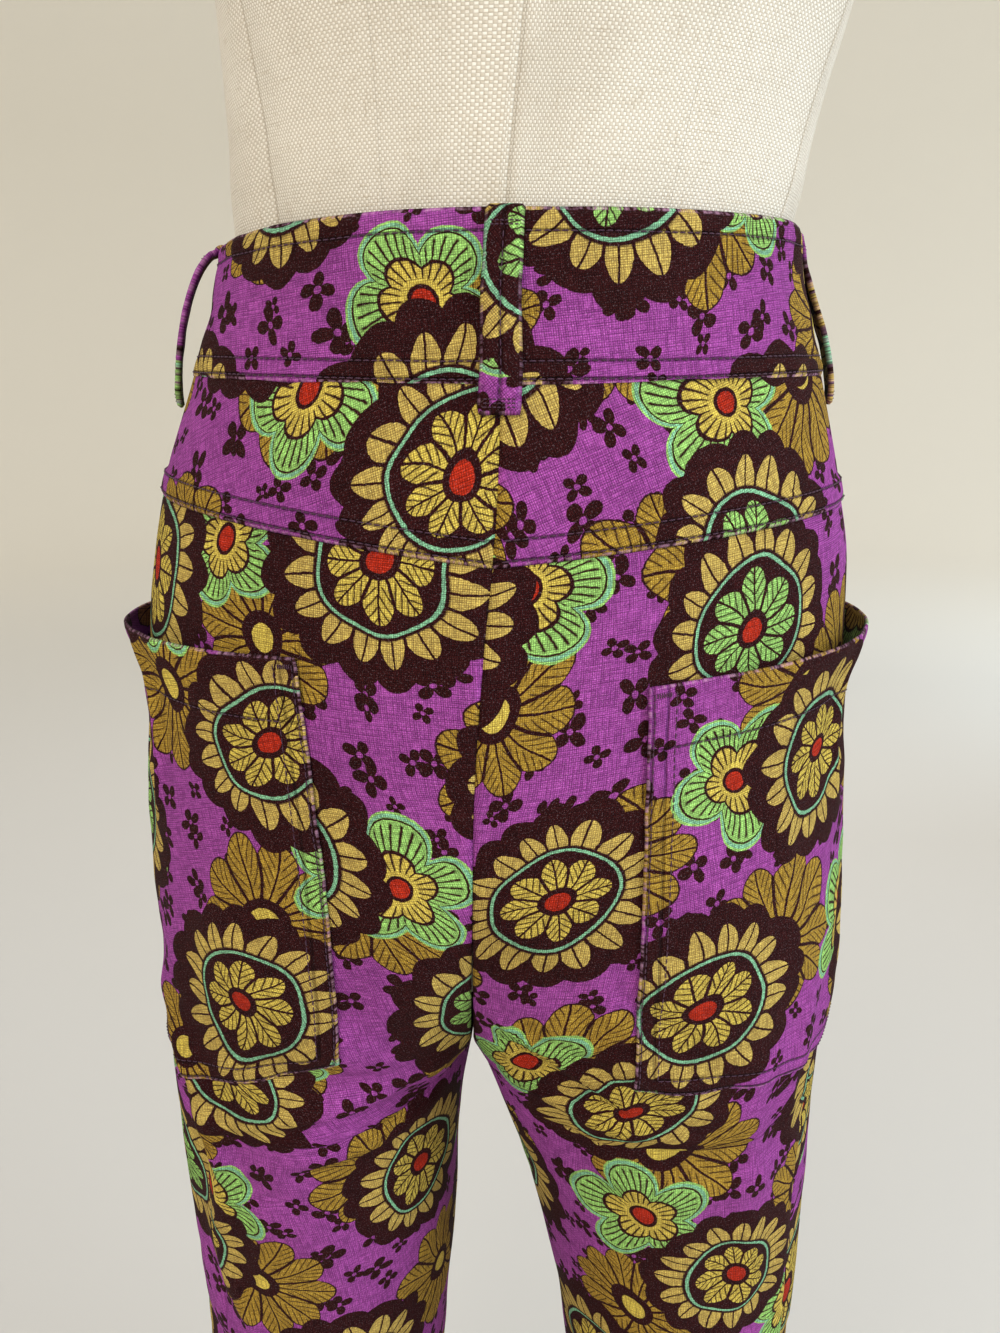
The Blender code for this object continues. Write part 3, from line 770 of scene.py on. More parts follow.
def sheet_area(points):
    """Area of a grid of points."""
    a = np.cross(points[1:, 1:] - points[:-1, :-1], points[1:, :-1] - points[:-1, 1:])
    return float(np.linalg.norm(a, axis=-1).sum() / 2)


def stitch_distances(*values):
    """Three signed distances to rows of stitches, filled up with a far one."""
    shape = np.broadcast(*values).shape
    rows = [np.broadcast_to(v, shape) for v in values]
    rows += [np.full(shape, FAR)] * (3 - len(rows))
    return np.stack(rows, -1)


# ---------------------------------------------------------------- shader sums


def two_sided(operation, swapped=False):
    """A sum of a wire and another value, in either order."""

    def result(self, other):
        pair = (other, self) if swapped else (self, other)
        return self.paint.math(operation, *pair)

    return result


class Wire:
    """A shader value or vector that takes part in sums as a number does."""

    __add__ = __radd__ = two_sided("ADD")
    __mul__ = __rmul__ = two_sided("MULTIPLY")
    __sub__, __rsub__ = two_sided("SUBTRACT"), two_sided("SUBTRACT", True)
    __truediv__ = two_sided("DIVIDE")
    most, least = two_sided("MAXIMUM"), two_sided("MINIMUM")

    def __init__(self, paint, socket):
        self.paint = paint
        self.socket = socket

    def __abs__(self):
        return self.paint.math("ABSOLUTE", self)

    def floor(self):
        return self.paint.math("FLOOR", self)


class Paint:
    """A material being mixed: its nodes, and the sums on their sockets."""

    def __init__(self, name, roughness, metallic=0.0, sockets=None):
        self.material = bpy.data.materials.new(name)
        self.material.use_nodes = True
        self.nodes = self.material.node_tree.nodes
        self.links = self.material.node_tree.links
        self.shader = self.nodes["Principled BSDF"]
        self.shader.inputs["Roughness"].default_value = roughness
        self.shader.inputs["Metallic"].default_value = metallic
        for socket, value in (sockets or {}).items():
            self.shader.inputs[socket].default_value = value

    def set(self, socket, value):
        """Links a wire to a socket, or sets a number, vector or colour on it."""
        if isinstance(value, Wire):
            self.links.new(value.socket, socket)
        elif hasattr(value, "__len__") and len(value) == 3 and len(socket.default_value) == 4:
            socket.default_value = (*value, 1.0)
        else:
            socket.default_value = value

    def node(self, kind, choices=None, inputs=None, output=0):
        """Any node: its choices are set first, then its sockets' values or links."""
        made = self.nodes.new(kind)
        for name, value in (choices or {}).items():
            setattr(made, name, value)
        for name, value in (inputs or {}).items():
            self.set(made.inputs[name], value)
        return Wire(self, made.outputs[output])

    def math(self, operation, *values):
        return self.node("ShaderNodeMath", {"operation": operation}, dict(enumerate(values)))

    def mix(self, share, first, second, blend="MIX"):
        """The first colour where share is 0 and the second where it is 1."""
        choices = {"data_type": "RGBA", "blend_type": blend, "clamp_factor": True}
        return self.node("ShaderNodeMix", choices, {0: share, 6: first, 7: second}, 2)

    def tint(self, share, first, second):
        """The first colour multiplied by the second, by a share."""
        return self.mix(share, first, second, "MULTIPLY")

    def step(self, low, high, value):
        """0 below low, 1 above high, smooth between; low may be the higher one."""
        inputs = {"Value": value, "From Min": low, "From Max": high}
        return self.node("ShaderNodeMapRange", {"interpolation_type": "SMOOTHSTEP"}, inputs)

    def over(self, value, limit=0.0, soft=0.2):
        """1 where a value is over a limit."""
        return self.step(limit - soft, limit + soft, value)

    def under(self, value, limit, soft=0.2):
        """1 where a value is under a limit."""
        return self.step(limit + soft, limit - soft, value)

    def within(self, value, low, high, soft=0.16):
        """1 between low and high, 0 outside."""
        return self.over(value, low, soft) * self.under(value, high, soft)

    def join(self, x, y, z=0.0):
        return self.node("ShaderNodeCombineXYZ", {}, {0: x, 1: y, 2: z})

    def parts(self, vector):
        """The three values of a vector."""
        made = self.nodes.new("ShaderNodeSeparateXYZ")
        self.links.new(vector.socket, made.inputs[0])
        return [Wire(self, output) for output in made.outputs]

    def noise(self, at, scale, detail=2.0, roughness=0.5):
        return self.node(
            "ShaderNodeTexNoise",
            {"noise_dimensions": "3D"},
            {"Vector": at, "Scale": scale, "Detail": detail, "Roughness": roughness},
        )

    def chance(self, x, y):
        """Three unrelated numbers from 0 to 1 for a cell."""
        choices = {"noise_dimensions": "2D"}
        made = self.node("ShaderNodeTexWhiteNoise", choices, {"Vector": self.join(x, y)}, 1)
        return self.parts(made)

    def stored(self, name):
        """The three values that a mesh keeps at its points."""
        return self.parts(self.node("ShaderNodeAttribute", {"attribute_name": name}, {}, 1))

    def place(self):
        """The point's own place on its object."""
        return self.parts(self.node("ShaderNodeTexCoord", {}, {}, 3))

    def cut(self):
        """The cut cloth's flat measure, in millimetres."""
        uv = self.parts(self.node("ShaderNodeUVMap", {"uv_map": "cut"}))
        return uv[0] * 1000.0, uv[1] * 1000.0

    def finish(self, colour, height=None, depth=0.001, roughness=None):
        """Puts colour, relief and roughness on the shader."""
        self.set(self.shader.inputs["Base Color"], colour)
        if roughness is not None:
            self.set(self.shader.inputs["Roughness"], roughness)
        if height is not None:
            relief = {"Height": height, "Strength": 1.0, "Distance": depth}
            bump = self.node("ShaderNodeBump", {}, relief)
            self.set(self.shader.inputs["Normal"], bump)
        return self.material


# ---------------------------------------------------------------- the print


# How far a motif may be turned by chance, in radians, and moved sideways, as a share of its cell
MOTIF_SWING = 5.5
MOTIF_SHIFT = 0.10


def lattice(paint, u, v, cell, turn, shift, vary):
    """A half-drop lattice: place in the cell in millimetres, turned by the cell's own chance
    within the swing, mirrored by chance and enlarged by chance, and the chance itself."""
    c, s = math.cos(turn), math.sin(turn)
    x = (u * c + v * s + shift[0]) / cell
    y = (v * c - u * s + shift[1]) / cell
    line = x.floor()
    half = line * 0.5
    y = y + (half - half.floor())
    place = y.floor()
    first, second, third = paint.chance(line, place)
    x = (x - line - 0.5) * cell + (third - 0.5) * MOTIF_SHIFT * cell
    y = (y - place - 0.5) * cell
    angle = (first - 0.5) * MOTIF_SWING
    c, s = paint.math("COSINE", angle), paint.math("SINE", angle)
    large = 1.0 - vary + third * (2 * vary)
    mirror = paint.math("SIGN", second - 0.5)
    return (x * c + y * s) / large, (y * c - x * s) / large * mirror, first


def flower(paint, x, y, petals, size, notch):
    """A round flower: depth inside its scalloped outline, distance from its middle, the place
    across a petal from -0.5 to 0.5, and the distance from that petal's middle line."""
    reach = paint.math("SQRT", x * x + y * y)
    turn = paint.math("ARCTAN2", y, x) * (petals / (2 * math.pi))
    place = turn - turn.floor() - 0.5
    edge = (1.0 - place * place * (4.0 * notch)) * size
    return edge - reach, reach, place, abs(place) * reach * (2 * math.pi / petals)


def petal_lines(paint, reach, place, beside, petals, width):
    """Dark lines between the petals and along the middle of each."""
    gap = (0.5 - abs(place)) * reach * (2 * math.pi / petals)
    return paint.under(gap, width).most(paint.under(beside * 1.6, width))


def strokes(paint, share, width, soft=0.12):
    """Lines at every whole share, with a width as part of the spacing."""
    return paint.under(abs(share - share.floor() - 0.5), width / 2, soft)


def daisy(paint, ink, u, v, wobble):
    """An ochre daisy: ten petals with chevron veins round a dark eye."""
    x, y, _ = lattice(paint, u, v, 98.0, 0.9, (12.0, 31.0), 0.12)
    depth, reach, place, beside = flower(paint, x, y, 10, 37.0, 0.20)
    vein = strokes(paint, (reach - beside * 1.5) / 4.4 + wobble, 0.20)
    vein = vein * paint.step(1.0, 2.0, beside) * paint.step(14.0, 16.0, reach)
    lines = vein.most(petal_lines(paint, reach, place, beside, 10, 0.8))
    body = paint.mix(lines, ink.ochre, ink.dark)
    body = paint.mix(paint.under(reach, 11.0), body, ink.dark)
    body = paint.mix(paint.under(reach, 6.0), body, ink.yellow)
    return depth, paint.mix(paint.under(depth, 0.8), body, ink.dark)


def bloom(paint, ink, u, v, wobble):
    """A lime bloom: five broad petals, a mint rim, a yellow throat and a red middle."""
    x, y, _ = lattice(paint, u, v, 124.0, 0.70, (5.0, 52.0), 0.14)
    depth, reach, place, _ = flower(paint, x, y, 5, 31.0, 0.38)
    rays = strokes(paint, place * 9.0 + wobble, 0.30, 0.10) * paint.step(11.0, 14.0, reach)
    body = paint.mix(rays * paint.step(4.0, 5.5, depth), ink.lime, ink.dark)
    body = paint.mix(paint.within(depth, 1.0, 2.6), body, ink.mint)
    body = paint.mix(paint.within(depth, 2.8, 3.6), body, ink.dark)
    throat, near, side, _ = flower(paint, x, y, 5, 16.0, 0.30)
    comb = strokes(paint, side * 5.0, 0.28, 0.10) * paint.step(7.5, 8.5, near)
    inner = paint.mix(comb, ink.yellow, ink.dark)
    inner = paint.mix(paint.under(near, 6.0), inner, ink.dark)
    inner = paint.mix(paint.under(near, 4.4), inner, ink.red)
    body = paint.mix(paint.over(throat), body, inner)
    return depth, paint.mix(paint.under(abs(throat), 0.7), body, ink.dark)


def rosette(paint, ink, u, v, _):
    """A dark rosette: a ring of gold petals, a thin mint ring, and a flower in the middle."""
    x, y, own = lattice(paint, u, v, 118.0, -0.62, (44.0, 9.0), 0.10)
    depth, reach, _, _ = flower(paint, x, y, 16, 48.0, 0.08)
    outer, ring, side, off = flower(paint, x, y, 16, 39.0, 0.26)
    gold = paint.mix(petal_lines(paint, ring, side, off, 16, 0.7), ink.gold, ink.dark)
    gold = paint.mix(paint.step(28.0, 27.0, ring), gold, ink.dark)
    body = paint.mix(paint.over(outer), ink.dark, gold)
    body = paint.mix(paint.within(reach, 24.6, 26.0), body, ink.mint)
    middle, near, side, off = flower(paint, x, y, 8, 21.5, 0.30)
    heart = paint.mix(paint.step(0.29, 0.31, own), ink.lime, ink.yellow)
    lines = strokes(paint, (near - off * 1.2) / 3.4, 0.24) * paint.step(9.0, 10.0, near)
    heart = paint.mix(lines.most(petal_lines(paint, near, side, off, 8, 0.7)), heart, ink.dark)
    heart = paint.mix(paint.under(near, 7.5), heart, ink.dark)
    heart = paint.mix(paint.under(near, 4.8), heart, ink.red)
    return depth, paint.mix(paint.over(middle), body, heart)


def print_colour(paint, u, v):
    """The printed design: a plain floral of round daisies, five-petalled blooms and ringed
    rosettes over small scattered florets, each kind on a half-drop lattice of its own."""
    ink = settings().cloth
    at = paint.join(u, v)
    slow = {"Vector": at, "Scale": 0.021, "Detail": 1.0}
    lazy = paint.parts(paint.node("ShaderNodeTexNoise", {}, slow, 1))
    quick = paint.parts(paint.node("ShaderNodeTexNoise", {}, {"Vector": at, "Scale": 0.6}, 1))
    u = u + (lazy[0] - 0.5) * 18.0 + (quick[0] - 0.5) * 0.8
    v = v + (lazy[1] - 0.5) * 18.0 + (quick[1] - 0.5) * 0.8
    wobble = lazy[2] - 0.5
    colour = ink.ground
    for cell, turn, shift, size in ((21.0, 0.5, (3.0, 8.0), 5.6), (29.0, 1.3, (11.0, 2.0), 6.8)):
        x, y, _ = lattice(paint, u, v, cell, turn, shift, 0.25)
        depth, reach, _, _ = flower(paint, x, y, 4, size, 0.72)
        colour = paint.mix(paint.over(depth) * paint.over(reach, 1.1), colour, ink.dark)
    for motif in (daisy, bloom, rosette):
        depth, body = motif(paint, ink, u, v, wobble)
        colour = paint.mix(paint.over(depth), colour, body)
    return colour


def plain_weave(paint, u, v, pitch):
    """Plain weave: relief of the threads, 1 on warp or 0 on weft, and two sets of streaks.

    The product of two sines gives over and under; stretched noise makes threads uneven.
    """
    across = paint.noise(paint.join(u * (1.2 / pitch), v * (0.10 / pitch)), 1.0, 1.0)
    upward = paint.noise(paint.join(u * (0.10 / pitch), v * (1.2 / pitch), 9.0), 1.0, 1.0)
    x = u + (across - 0.5) * (0.45 * pitch)
    y = v + (upward - 0.5) * (0.45 * pitch)
    over = paint.math("SINE", x * (math.pi / pitch)) * paint.math("SINE", y * (math.pi / pitch))
    relief = paint.math("SQRT", abs(over)) * 0.62 + across * 0.22 + upward * 0.22
    return relief, paint.step(-0.25, 0.25, over), across, upward


def printed_linen():
    """Printed linen: print, threads, lint, worn folds, stitch grooves, and painted shade between the
    threads, on the inner faces and under lapping edges.
    """
    paint = Paint("printed_linen", 0.88, 0.0, {"Specular IOR Level": 0.10})
    u, v = paint.cut()
    relief, warp, across, upward = plain_weave(paint, u, v, 0.82)
    colour = print_colour(paint, u, v)
    at = paint.join(u, v)
    # Threads: streaks both ways, a little lighter on the warp, and specks of pale lint
    colour = paint.tint((1.0 - warp) * 0.22, colour, srgb(160, 150, 164))
    # Painted shade in the hollows between the threads
    colour = paint.tint(paint.step(0.80, 0.35, relief) * 0.66, colour, srgb(122, 106, 120))
    streak = paint.step(0.58, 0.36, across).most(paint.step(0.58, 0.36, upward))
    colour = paint.tint(streak * 0.52, colour, srgb(152, 138, 152))
    slub = paint.step(0.60, 0.80, across).most(paint.step(0.60, 0.80, upward))
    colour = paint.tint(slub, colour, (1.16, 1.22, 1.16))
    lint = paint.step(0.56, 0.70, paint.noise(at, 1.4, 2.0, 0.7))
    colour = paint.tint(lint, colour, (1.50, 1.75, 1.45))
    colour = paint.mix(lint * 0.09, colour, srgb(240, 222, 236))
    fade = paint.noise(at, 0.02, 3.0)
    colour = paint.tint(paint.step(0.35, 0.70, fade) * 0.30, colour, srgb(205, 198, 205))
    # Stitch rows: a shaded groove; fold edges: rubbed pale
    rows = paint.stored("stitch_rows")
    nearest = abs(rows[0]).least(abs(rows[1])).least(abs(rows[2])) * 1000.0
    groove = paint.step(0.9, 0.1, nearest)
    colour = paint.tint(groove * 0.52, colour, srgb(112, 90, 116))
    edge, inside, below = paint.stored("trim")
    edge, below = edge * 1000.0, below * 1000.0
    rub = paint.step(0.8, 0.1, edge) * paint.step(0.42, 0.66, paint.noise(at, 0.45, 3.0))
    colour = paint.mix(rub * 0.45, colour, srgb(222, 170, 206))
    # Inner faces: painted shade of the garment's inside, which also dulls the print as on its wrong
    # side
    colour = paint.tint(inside * 0.78, colour, srgb(112, 90, 112))
    # Painted shadow in the joint under a lapping edge, and a soft roll of the cloth at its own edges
    colour = paint.tint(paint.step(1.9, 0.1, below) * 0.72, colour, srgb(84, 62, 84))
    roll = paint.step(2.0, 0.0, edge)
    pucker = paint.noise(paint.join(u * 0.34, v * 0.34), 1.0, 1.0) * paint.step(9.0, 1.0, nearest)
    height = relief * 0.36 - groove * 1.5 - roll * 1.2 + pucker * 1.1 - streak * 0.10 + lint * 0.08
    return paint.finish(colour, height, 0.00055)


def sewing_thread():
    """Sewing thread: fine slanted plies."""
    paint = Paint("sewing_thread", 0.62, 0.0, {"Sheen Weight": 0.1})
    x, y, z = paint.place()
    ply = paint.math("SINE", (x + y * 0.7 + z * 1.3) * 14000.0)
    colour = paint.mix(ply * 0.25 + 0.3, settings().cloth.thread, srgb(108, 52, 92))
    return paint.finish(colour, ply, 0.00006)


def cream_canvas():
    """The form's cover: coarse cream linen with painted shade between its threads, a little pale and
    grey in patches, rubbed on seams.
    """
    form = settings().form
    paint = Paint("cream_canvas", 0.90, 0.0, {"Sheen Weight": 0.08})
    u, v = paint.cut()
    relief, warp, across, upward = plain_weave(paint, u, v, form.weave * 1000.0)
    at = paint.join(u, v)
    colour = paint.tint((1.0 - warp) * 0.62, form.canvas, srgb(200, 190, 176))
    # Painted shade in the hollows between the threads
    colour = paint.tint(paint.step(0.80, 0.30, relief) * 0.38, colour, srgb(176, 164, 146))
    slub = paint.step(0.56, 0.80, across).most(paint.step(0.56, 0.80, upward))
    colour = paint.tint(slub * 0.42, colour, srgb(196, 182, 160))
    patches = paint.step(0.42, 0.66, paint.noise(at, 0.016, 3.0))
    colour = paint.tint(patches * 0.25, colour, srgb(214, 208, 200))
    seam = abs(paint.stored("seam_line")[0]) * 1000.0
    line = paint.step(0.9, 0.25, seam)
    colour = paint.tint(line * 0.30, colour, srgb(178, 166, 148))
    height = relief * 0.55 - line * 0.45
    return paint.finish(colour, height, 0.0006)


def varnished_wood():
    """Turned hardwood: grain lines along x, wavy, under satin varnish."""
    paint = Paint("varnished_wood", 0.48, 0.0, {"Coat Weight": 0.5, "Coat Roughness": 0.2})
    x, y, z = paint.place()
    wave = paint.noise(paint.join(x * 6.0, y * 40.0, z * 40.0), 1.0, 4.0)
    ring = paint.math("SINE", y * 900.0 + wave * 14.0) * 0.5 + 0.5
    fine = paint.noise(paint.join(x * 60.0, y * 1400.0, z * 900.0), 1.0, 2.0)
    colour = paint.mix(ring * 0.55 + fine * 0.35, settings().form.wood, srgb(92, 56, 28))
    return paint.finish(colour, fine + ring * 0.4, 0.00015, fine * 0.2 + 0.36)


def coated_steel():
    """Powder-coated steel: fine orange-peel relief, slight wear and dust."""
    paint = Paint("coated_steel", 0.45, 0.85)
    x, y, z = paint.place()
    at = paint.join(x, y, z)
    peel = paint.noise(at, 900.0, 2.0)
    cloudy = paint.noise(at, 14.0, 4.0, 0.6)
    scuff = paint.step(0.64, 0.70, paint.noise(paint.join(x * 30.0, y * 30.0, z * 6.0), 2.0, 5.0, 0.7))
    colour = paint.mix(scuff * 0.30, settings().form.metal, srgb(126, 122, 116))
    colour = paint.mix(paint.step(0.5, 0.8, cloudy) * 0.2, colour, srgb(86, 84, 84))
    return paint.finish(colour, peel, 0.00012, cloudy * 0.25 + 0.30)


def button_horn():
    """Dark polished button with faint clouds."""
    paint = Paint("button_horn", 0.32, 0.0, {"Coat Weight": 0.3, "Coat Roughness": 0.15})
    x, y, z = paint.place()
    cloud = paint.noise(paint.join(x, y, z), 260.0, 4.0, 0.6)
    colour = paint.mix(paint.step(0.4, 0.7, cloud), srgb(62, 24, 44), srgb(112, 62, 70))
    return paint.finish(colour, cloud, 0.00008, cloud * 0.2 + 0.22)


def room_paint():
    """Matt pale paint, very slightly uneven, with a painted shade that makes the middle of the floor
    darker and cooler.
    """
    paint = Paint("room_paint", 0.95)
    x, y, z = paint.place()
    cloudy = paint.noise(paint.join(x, y, z), 0.7, 2.0)
    wall = settings().stage.wall
    colour = paint.mix(cloudy * 0.25, wall, [value * 0.93 for value in wall])
    reach = paint.math("SQRT", x * x + y * y)
    # Painted shade: the middle of the floor darker and cooler in tone
    colour = paint.tint(paint.step(7.0, 0.5, reach) * 0.6, colour, srgb(196, 204, 222))
    return paint.finish(colour)


# ---------------------------------------------------------------- trousers


def centre_gap(side, angle, height):
    """Distance along the cloth to the nearer centre seam, or far below the crotch."""
    first = first_angle(side, height)
    half = half_section(side, height)[1]
    near = np.minimum(angle - first, math.pi - first - angle) * half
    return np.where(height >= CROTCH, np.maximum(near, 0.0), FAR)


def settle(side, angle, height):
    """The drape, smoothed away at the centre seams where the two halves are sewn together."""
    free = smooth_step(0.0, 0.020, centre_gap(side, angle, height))
    held = smooth_step(CROTCH - 0.035, CROTCH, height)
    return drape(side, angle, height) * (1.0 - held * (1.0 - free))


def joint_dip(distance):
    """A seam's narrow valley: deepest on the seam line."""
    return -0.0006 * bell(distance, 0.0013)


def allowance(distance, width=0.010, thick=0.0004):
    """The low step of a seam allowance pressed to one side under the cloth."""
    return thick * smooth_step(width + 0.0015, width - 0.0010, distance)


def leg_rows(top, pitch):
    """Heights of a leg's rows: the top edge's own rise fades out down to the crotch."""
    high = float(top[0])
    rows = high + (HEM - high) * graded(high - HEM, pitch, 0.0008)
    near = CROTCH + np.array([0.0, 0.0003, 0.0009, 0.0018, 0.0032, 0.0050])
    rows = np.concatenate([rows[(rows > near[-1] + 0.001) | (rows < CROTCH - 0.0006)], near])
    rows = np.sort(rows)[::-1][:, None]
    fade = np.clip((rows - CROTCH) / (high - CROTCH), 0.0, 1.0)
    return rows + (top - high)[None, :] * fade


def tucked(above):
    """1 where the cloth is tucked in above an edge that laps over it, 0 below."""
    return smooth_step(-0.0015, 0.0030, above)


def cloth_piece(node, outer, normal, thickness, rows, edge, below=FAR):
    """A wall of printed cloth in its node's place."""
    uv = flat_measure(outer, *CUT[node][1:])
    mesh = cloth_wall(f"{node}_linen", outer, normal, thickness, uv, rows, edge, below)
    return stand_in_scene(mesh, printed_linen, [node])


def across_back(side, share, height):
    """Angles at shares across each row of a back piece, and its first and last angle."""
    start = first_angle(side, height[:, 0])[:, None]
    half = half_section(side, height[:, -1])[1]
    end = (outseam(side, height[:, -1]) - SEAM / 2 / half)[:, None]
    return start + (end - start) * share, start, end


def edge_gaps(side, angle, height, start, end):
    """Distances along the cloth from a piece's two side edges."""
    half = half_section(side, height)[1] * 0.95
    return (angle - start) * half, (end - angle) * half


def hem_relief(height):
    """The low step of a doubled hem."""
    return 0.0004 * smooth_step(0.0007, -0.0007, height - HEM - HEM_DEEP)


def leg(node, side, angle, height, gaps, top, tuck, pressed=0.0):
    """A leg's cloth: the drape, a valley on each seam, the hem, and its top edge set in by the
    tuck where it goes under the piece above."""
    near, far = gaps
    out = settle(side, angle, height) + joint_dip(near) + joint_dip(far) + pressed
    out = out + hem_relief(height) - tuck * tucked(height - top)
    outer, normal = cloth(side, angle, height, out)
    rows = stitch_distances(height - (HEM + HEM_ROW))
    edge = np.minimum(np.minimum(near, far) + SEAM_RUB, height - HEM)
    declare_cloth(cloth_piece(node, outer, normal, LEG_CLOTH, rows, edge, top - height), outer)


def back_leg(side):
    """A back leg, from under the yoke to the hem, its seam allowances pressed to one side."""
    pitch = settings().cloth.pitch
    share = graded(LEG_WIDTH["back"], pitch, LEG_STEP)
    line = yoke_line(side, share)
    height = leg_rows(line + TUCK, pitch)
    angle, start, end = across_back(side, share, height)
    gaps = edge_gaps(side, angle, height, start, end)
    pressed = allowance(gaps[1], 0.009) + (allowance(gaps[0]) if side == "left" else 0.0)
    leg(f"back_leg_{side}", side, angle, height, gaps, line, 0.0011, pressed)


def front_leg(side):
    """A front leg, from under the waistband to the hem, round to the inseam."""
    pitch = settings().cloth.pitch
    share = graded(LEG_WIDTH["front"], pitch, LEG_STEP)
    low = float(yoke_line(side, 1.0))
    high = float(band_height(BAND_LINE, side, math.pi / 2)) + TUCK
    front_top = BAND_LINE[side][2] + TUCK
    legs = leg_rows(yoke_line(side, np.array([0.0, 1.0])), pitch)
    upper = np.linspace(0.0, 1.0, 24)[:-1]
    at_side = np.concatenate([high + (low - high) * upper, legs[:, 1]])
    at_front = np.concatenate([front_top + (legs[0, 0] - front_top) * upper, legs[:, 0]])
    height = at_side[:, None] + (at_front - at_side)[:, None] * smooth_step(0.0, 1.0, share)
    start = (outseam(side, at_side) + SEAM / 2 / half_section(side, at_side)[1])[:, None]
    end = last_angle(side, at_front)[:, None]
    angle = start + (end - start) * share
    # The top row follows the band's seam, and the rows below ease into their own heights
    ease = np.clip(1.0 - np.arange(len(height)) / len(upper), 0.0, 1.0)[:, None]
    height = height + (band_height(BAND_LINE, side, angle[:1]) + TUCK - height[:1]) * ease
    gaps = edge_gaps(side, angle, height, start, end)
    seam = band_height(BAND_LINE, side, angle)
    leg(f"front_leg_{side}", side, angle, height, gaps, seam, 0.0014)


def yoke_out(side, angle, height, low, near, far):
    """A yoke's offset: its lower edge stands on the leg's top, thick where it is turned under."""
    above = height - low
    step = 0.0003 + 0.0010 * smooth_step(0.0105, 0.0090, above) * smooth_step(-0.002, 0.0015, above)
    ridge = 0.00025 * bell(above - 0.0046, 0.0022)
    pucker = 0.00042 * uneven(angle * 0.12, above, 0.0062, 11.0) * smooth_step(0.016, 0.002, above)
    return settle(side, angle, height) + step + ridge + pucker + joint_dip(near) * 1.4 + joint_dip(far)


def back_yoke(side):
    """A back yoke: turned under and stitched twice along its lower edge."""
    share, drop = (graded(size, SMALL_PITCH, EDGE_STEP) for size in YOKE_SIZE)
    line = yoke_line(side, share)
    seam = band_height(BAND_LINE, side, share * outseam(side, line))
    low, top = line - YOKE_LAP, seam + TUCK
    height = top + (low - top) * drop[:, None]
    angle, start, end = across_back(side, share, height)
    near, far = edge_gaps(side, angle, height, start, end)
    out = yoke_out(side, angle, height, low, near, far) - 0.0017 * tucked(height - seam)
    outer, normal = cloth(side, angle, height, out)
    rows = stitch_distances(*[height - low - row for row in YOKE_ROWS])
    edge = np.minimum(height - low, np.minimum(near, far) + SEAM_RUB)
    piece = cloth_piece(f"back_yoke_{side}", outer, normal, YOKE_CLOTH, rows, edge, seam - height)
    at = np.linspace(0.012, 0.99, 400)
    low = yoke_line(side, at) - YOKE_LAP
    paths = []
    for level in (low + row for row in YOKE_ROWS):
        first, last = first_angle(side, level), outseam(side, level)
        turn = first + (last - first) * at
        gaps = edge_gaps(side, turn, level, first, last)
        paths.append(cloth(side, turn, level, yoke_out(side, turn, level, low, *gaps)))
    declare_cloth(piece, outer, [stitch_rows(f"back_yoke_{side}_stitches", paths)])


# ---------------------------------------------------------------- stitches


def stitch_rows(name, paths, spacing=None, size=0.00027):
    """Running stitches: short arched bars of four sides at even runs along each path.

    A bar's middle line rises as half a sine over its length, and its ends dip into the cloth.
    """
    spacing = spacing or settings().cloth.stitch
    points, faces, start = [], [], 0
    for line, normals in paths:
        run = run_along(line)
        count = max(1, int(run[-1] / spacing))
        first = (np.arange(count) + 0.5) * run[-1] / count
        t = np.array([-0.40, -0.16, 0.16, 0.40]) * spacing
        at = first[:, None] + t[None, :]

        def follow(values):
            return np.stack([np.interp(at, run, values[:, axis]) for axis in range(3)], -1)

        middle, up = follow(line), unit(follow(normals))
        beside = np.cross(unit(np.gradient(middle, axis=1)), up)
        lift = np.array([-0.00012, 0.00016, 0.00016, -0.00012])
        radius = np.array([0.7, 1.0, 1.0, 0.7]) * size
        middle = middle + up * lift[None, :, None]
        ways = ((1, 0), (0, 1), (-1, 0), (0, -1))
        corners = [middle + (beside * c + up * s) * radius[None, :, None] for c, s in ways]
        made = np.stack(corners, 2).reshape(-1, 3)
        points.append(made)
        base = start + np.arange(count)[:, None, None] * 16
        ring = np.arange(3)[None, :, None] * 4
        j = np.arange(4)[None, None, :]
        k = (j + 1) % 4
        ring = base + ring
        side = np.stack([ring + j, ring + 4 + j, ring + 4 + k, ring + k], -1)
        ends = np.array([[0, 1, 2, 3], [15, 14, 13, 12]])[None] + base
        faces.append(np.concatenate([side.reshape(-1, 4), ends.reshape(-1, 4)]))
        start += len(made)
    mesh = mesh_of(name, np.concatenate(points), np.concatenate(faces))
    return stand_in_scene(mesh, sewing_thread, [])


def declare_cloth(piece, points, sewn=()):
    """Works out the area of a piece's points, and does nothing more with it, the piece or what is sewn
    to it.
    """
    area = round(sheet_area(points), 5)


# ---------------------------------------------------------------- pockets


def pocket_angle(side, distance, height):
    """Angle at which the section is this far from x = 0, behind."""
    centre, half = half_section(side, height)[:2]
    return np.arcsin(np.clip((distance - centre) / half, -1.0, 1.0))


def pocket_place(side, share, drop):
    """Angle and height at shares across and down a pocket, and distances to its edges."""
    size = POCKETS[side]
    mouth, bottom = along(size["mouth"], share), along(size["bottom"], share)
    height = mouth + (bottom - mouth) * drop
    start = pocket_angle(side, along(size["inner"], drop), height)
    front = math.radians(size["front_angle"])
    angle = start + (front - start) * share
    half = half_section(side, height)[1] * 0.97
    sides = np.minimum((angle - start) * half, (front - angle) * half)
    return angle, height, sides, mouth - height, height - bottom


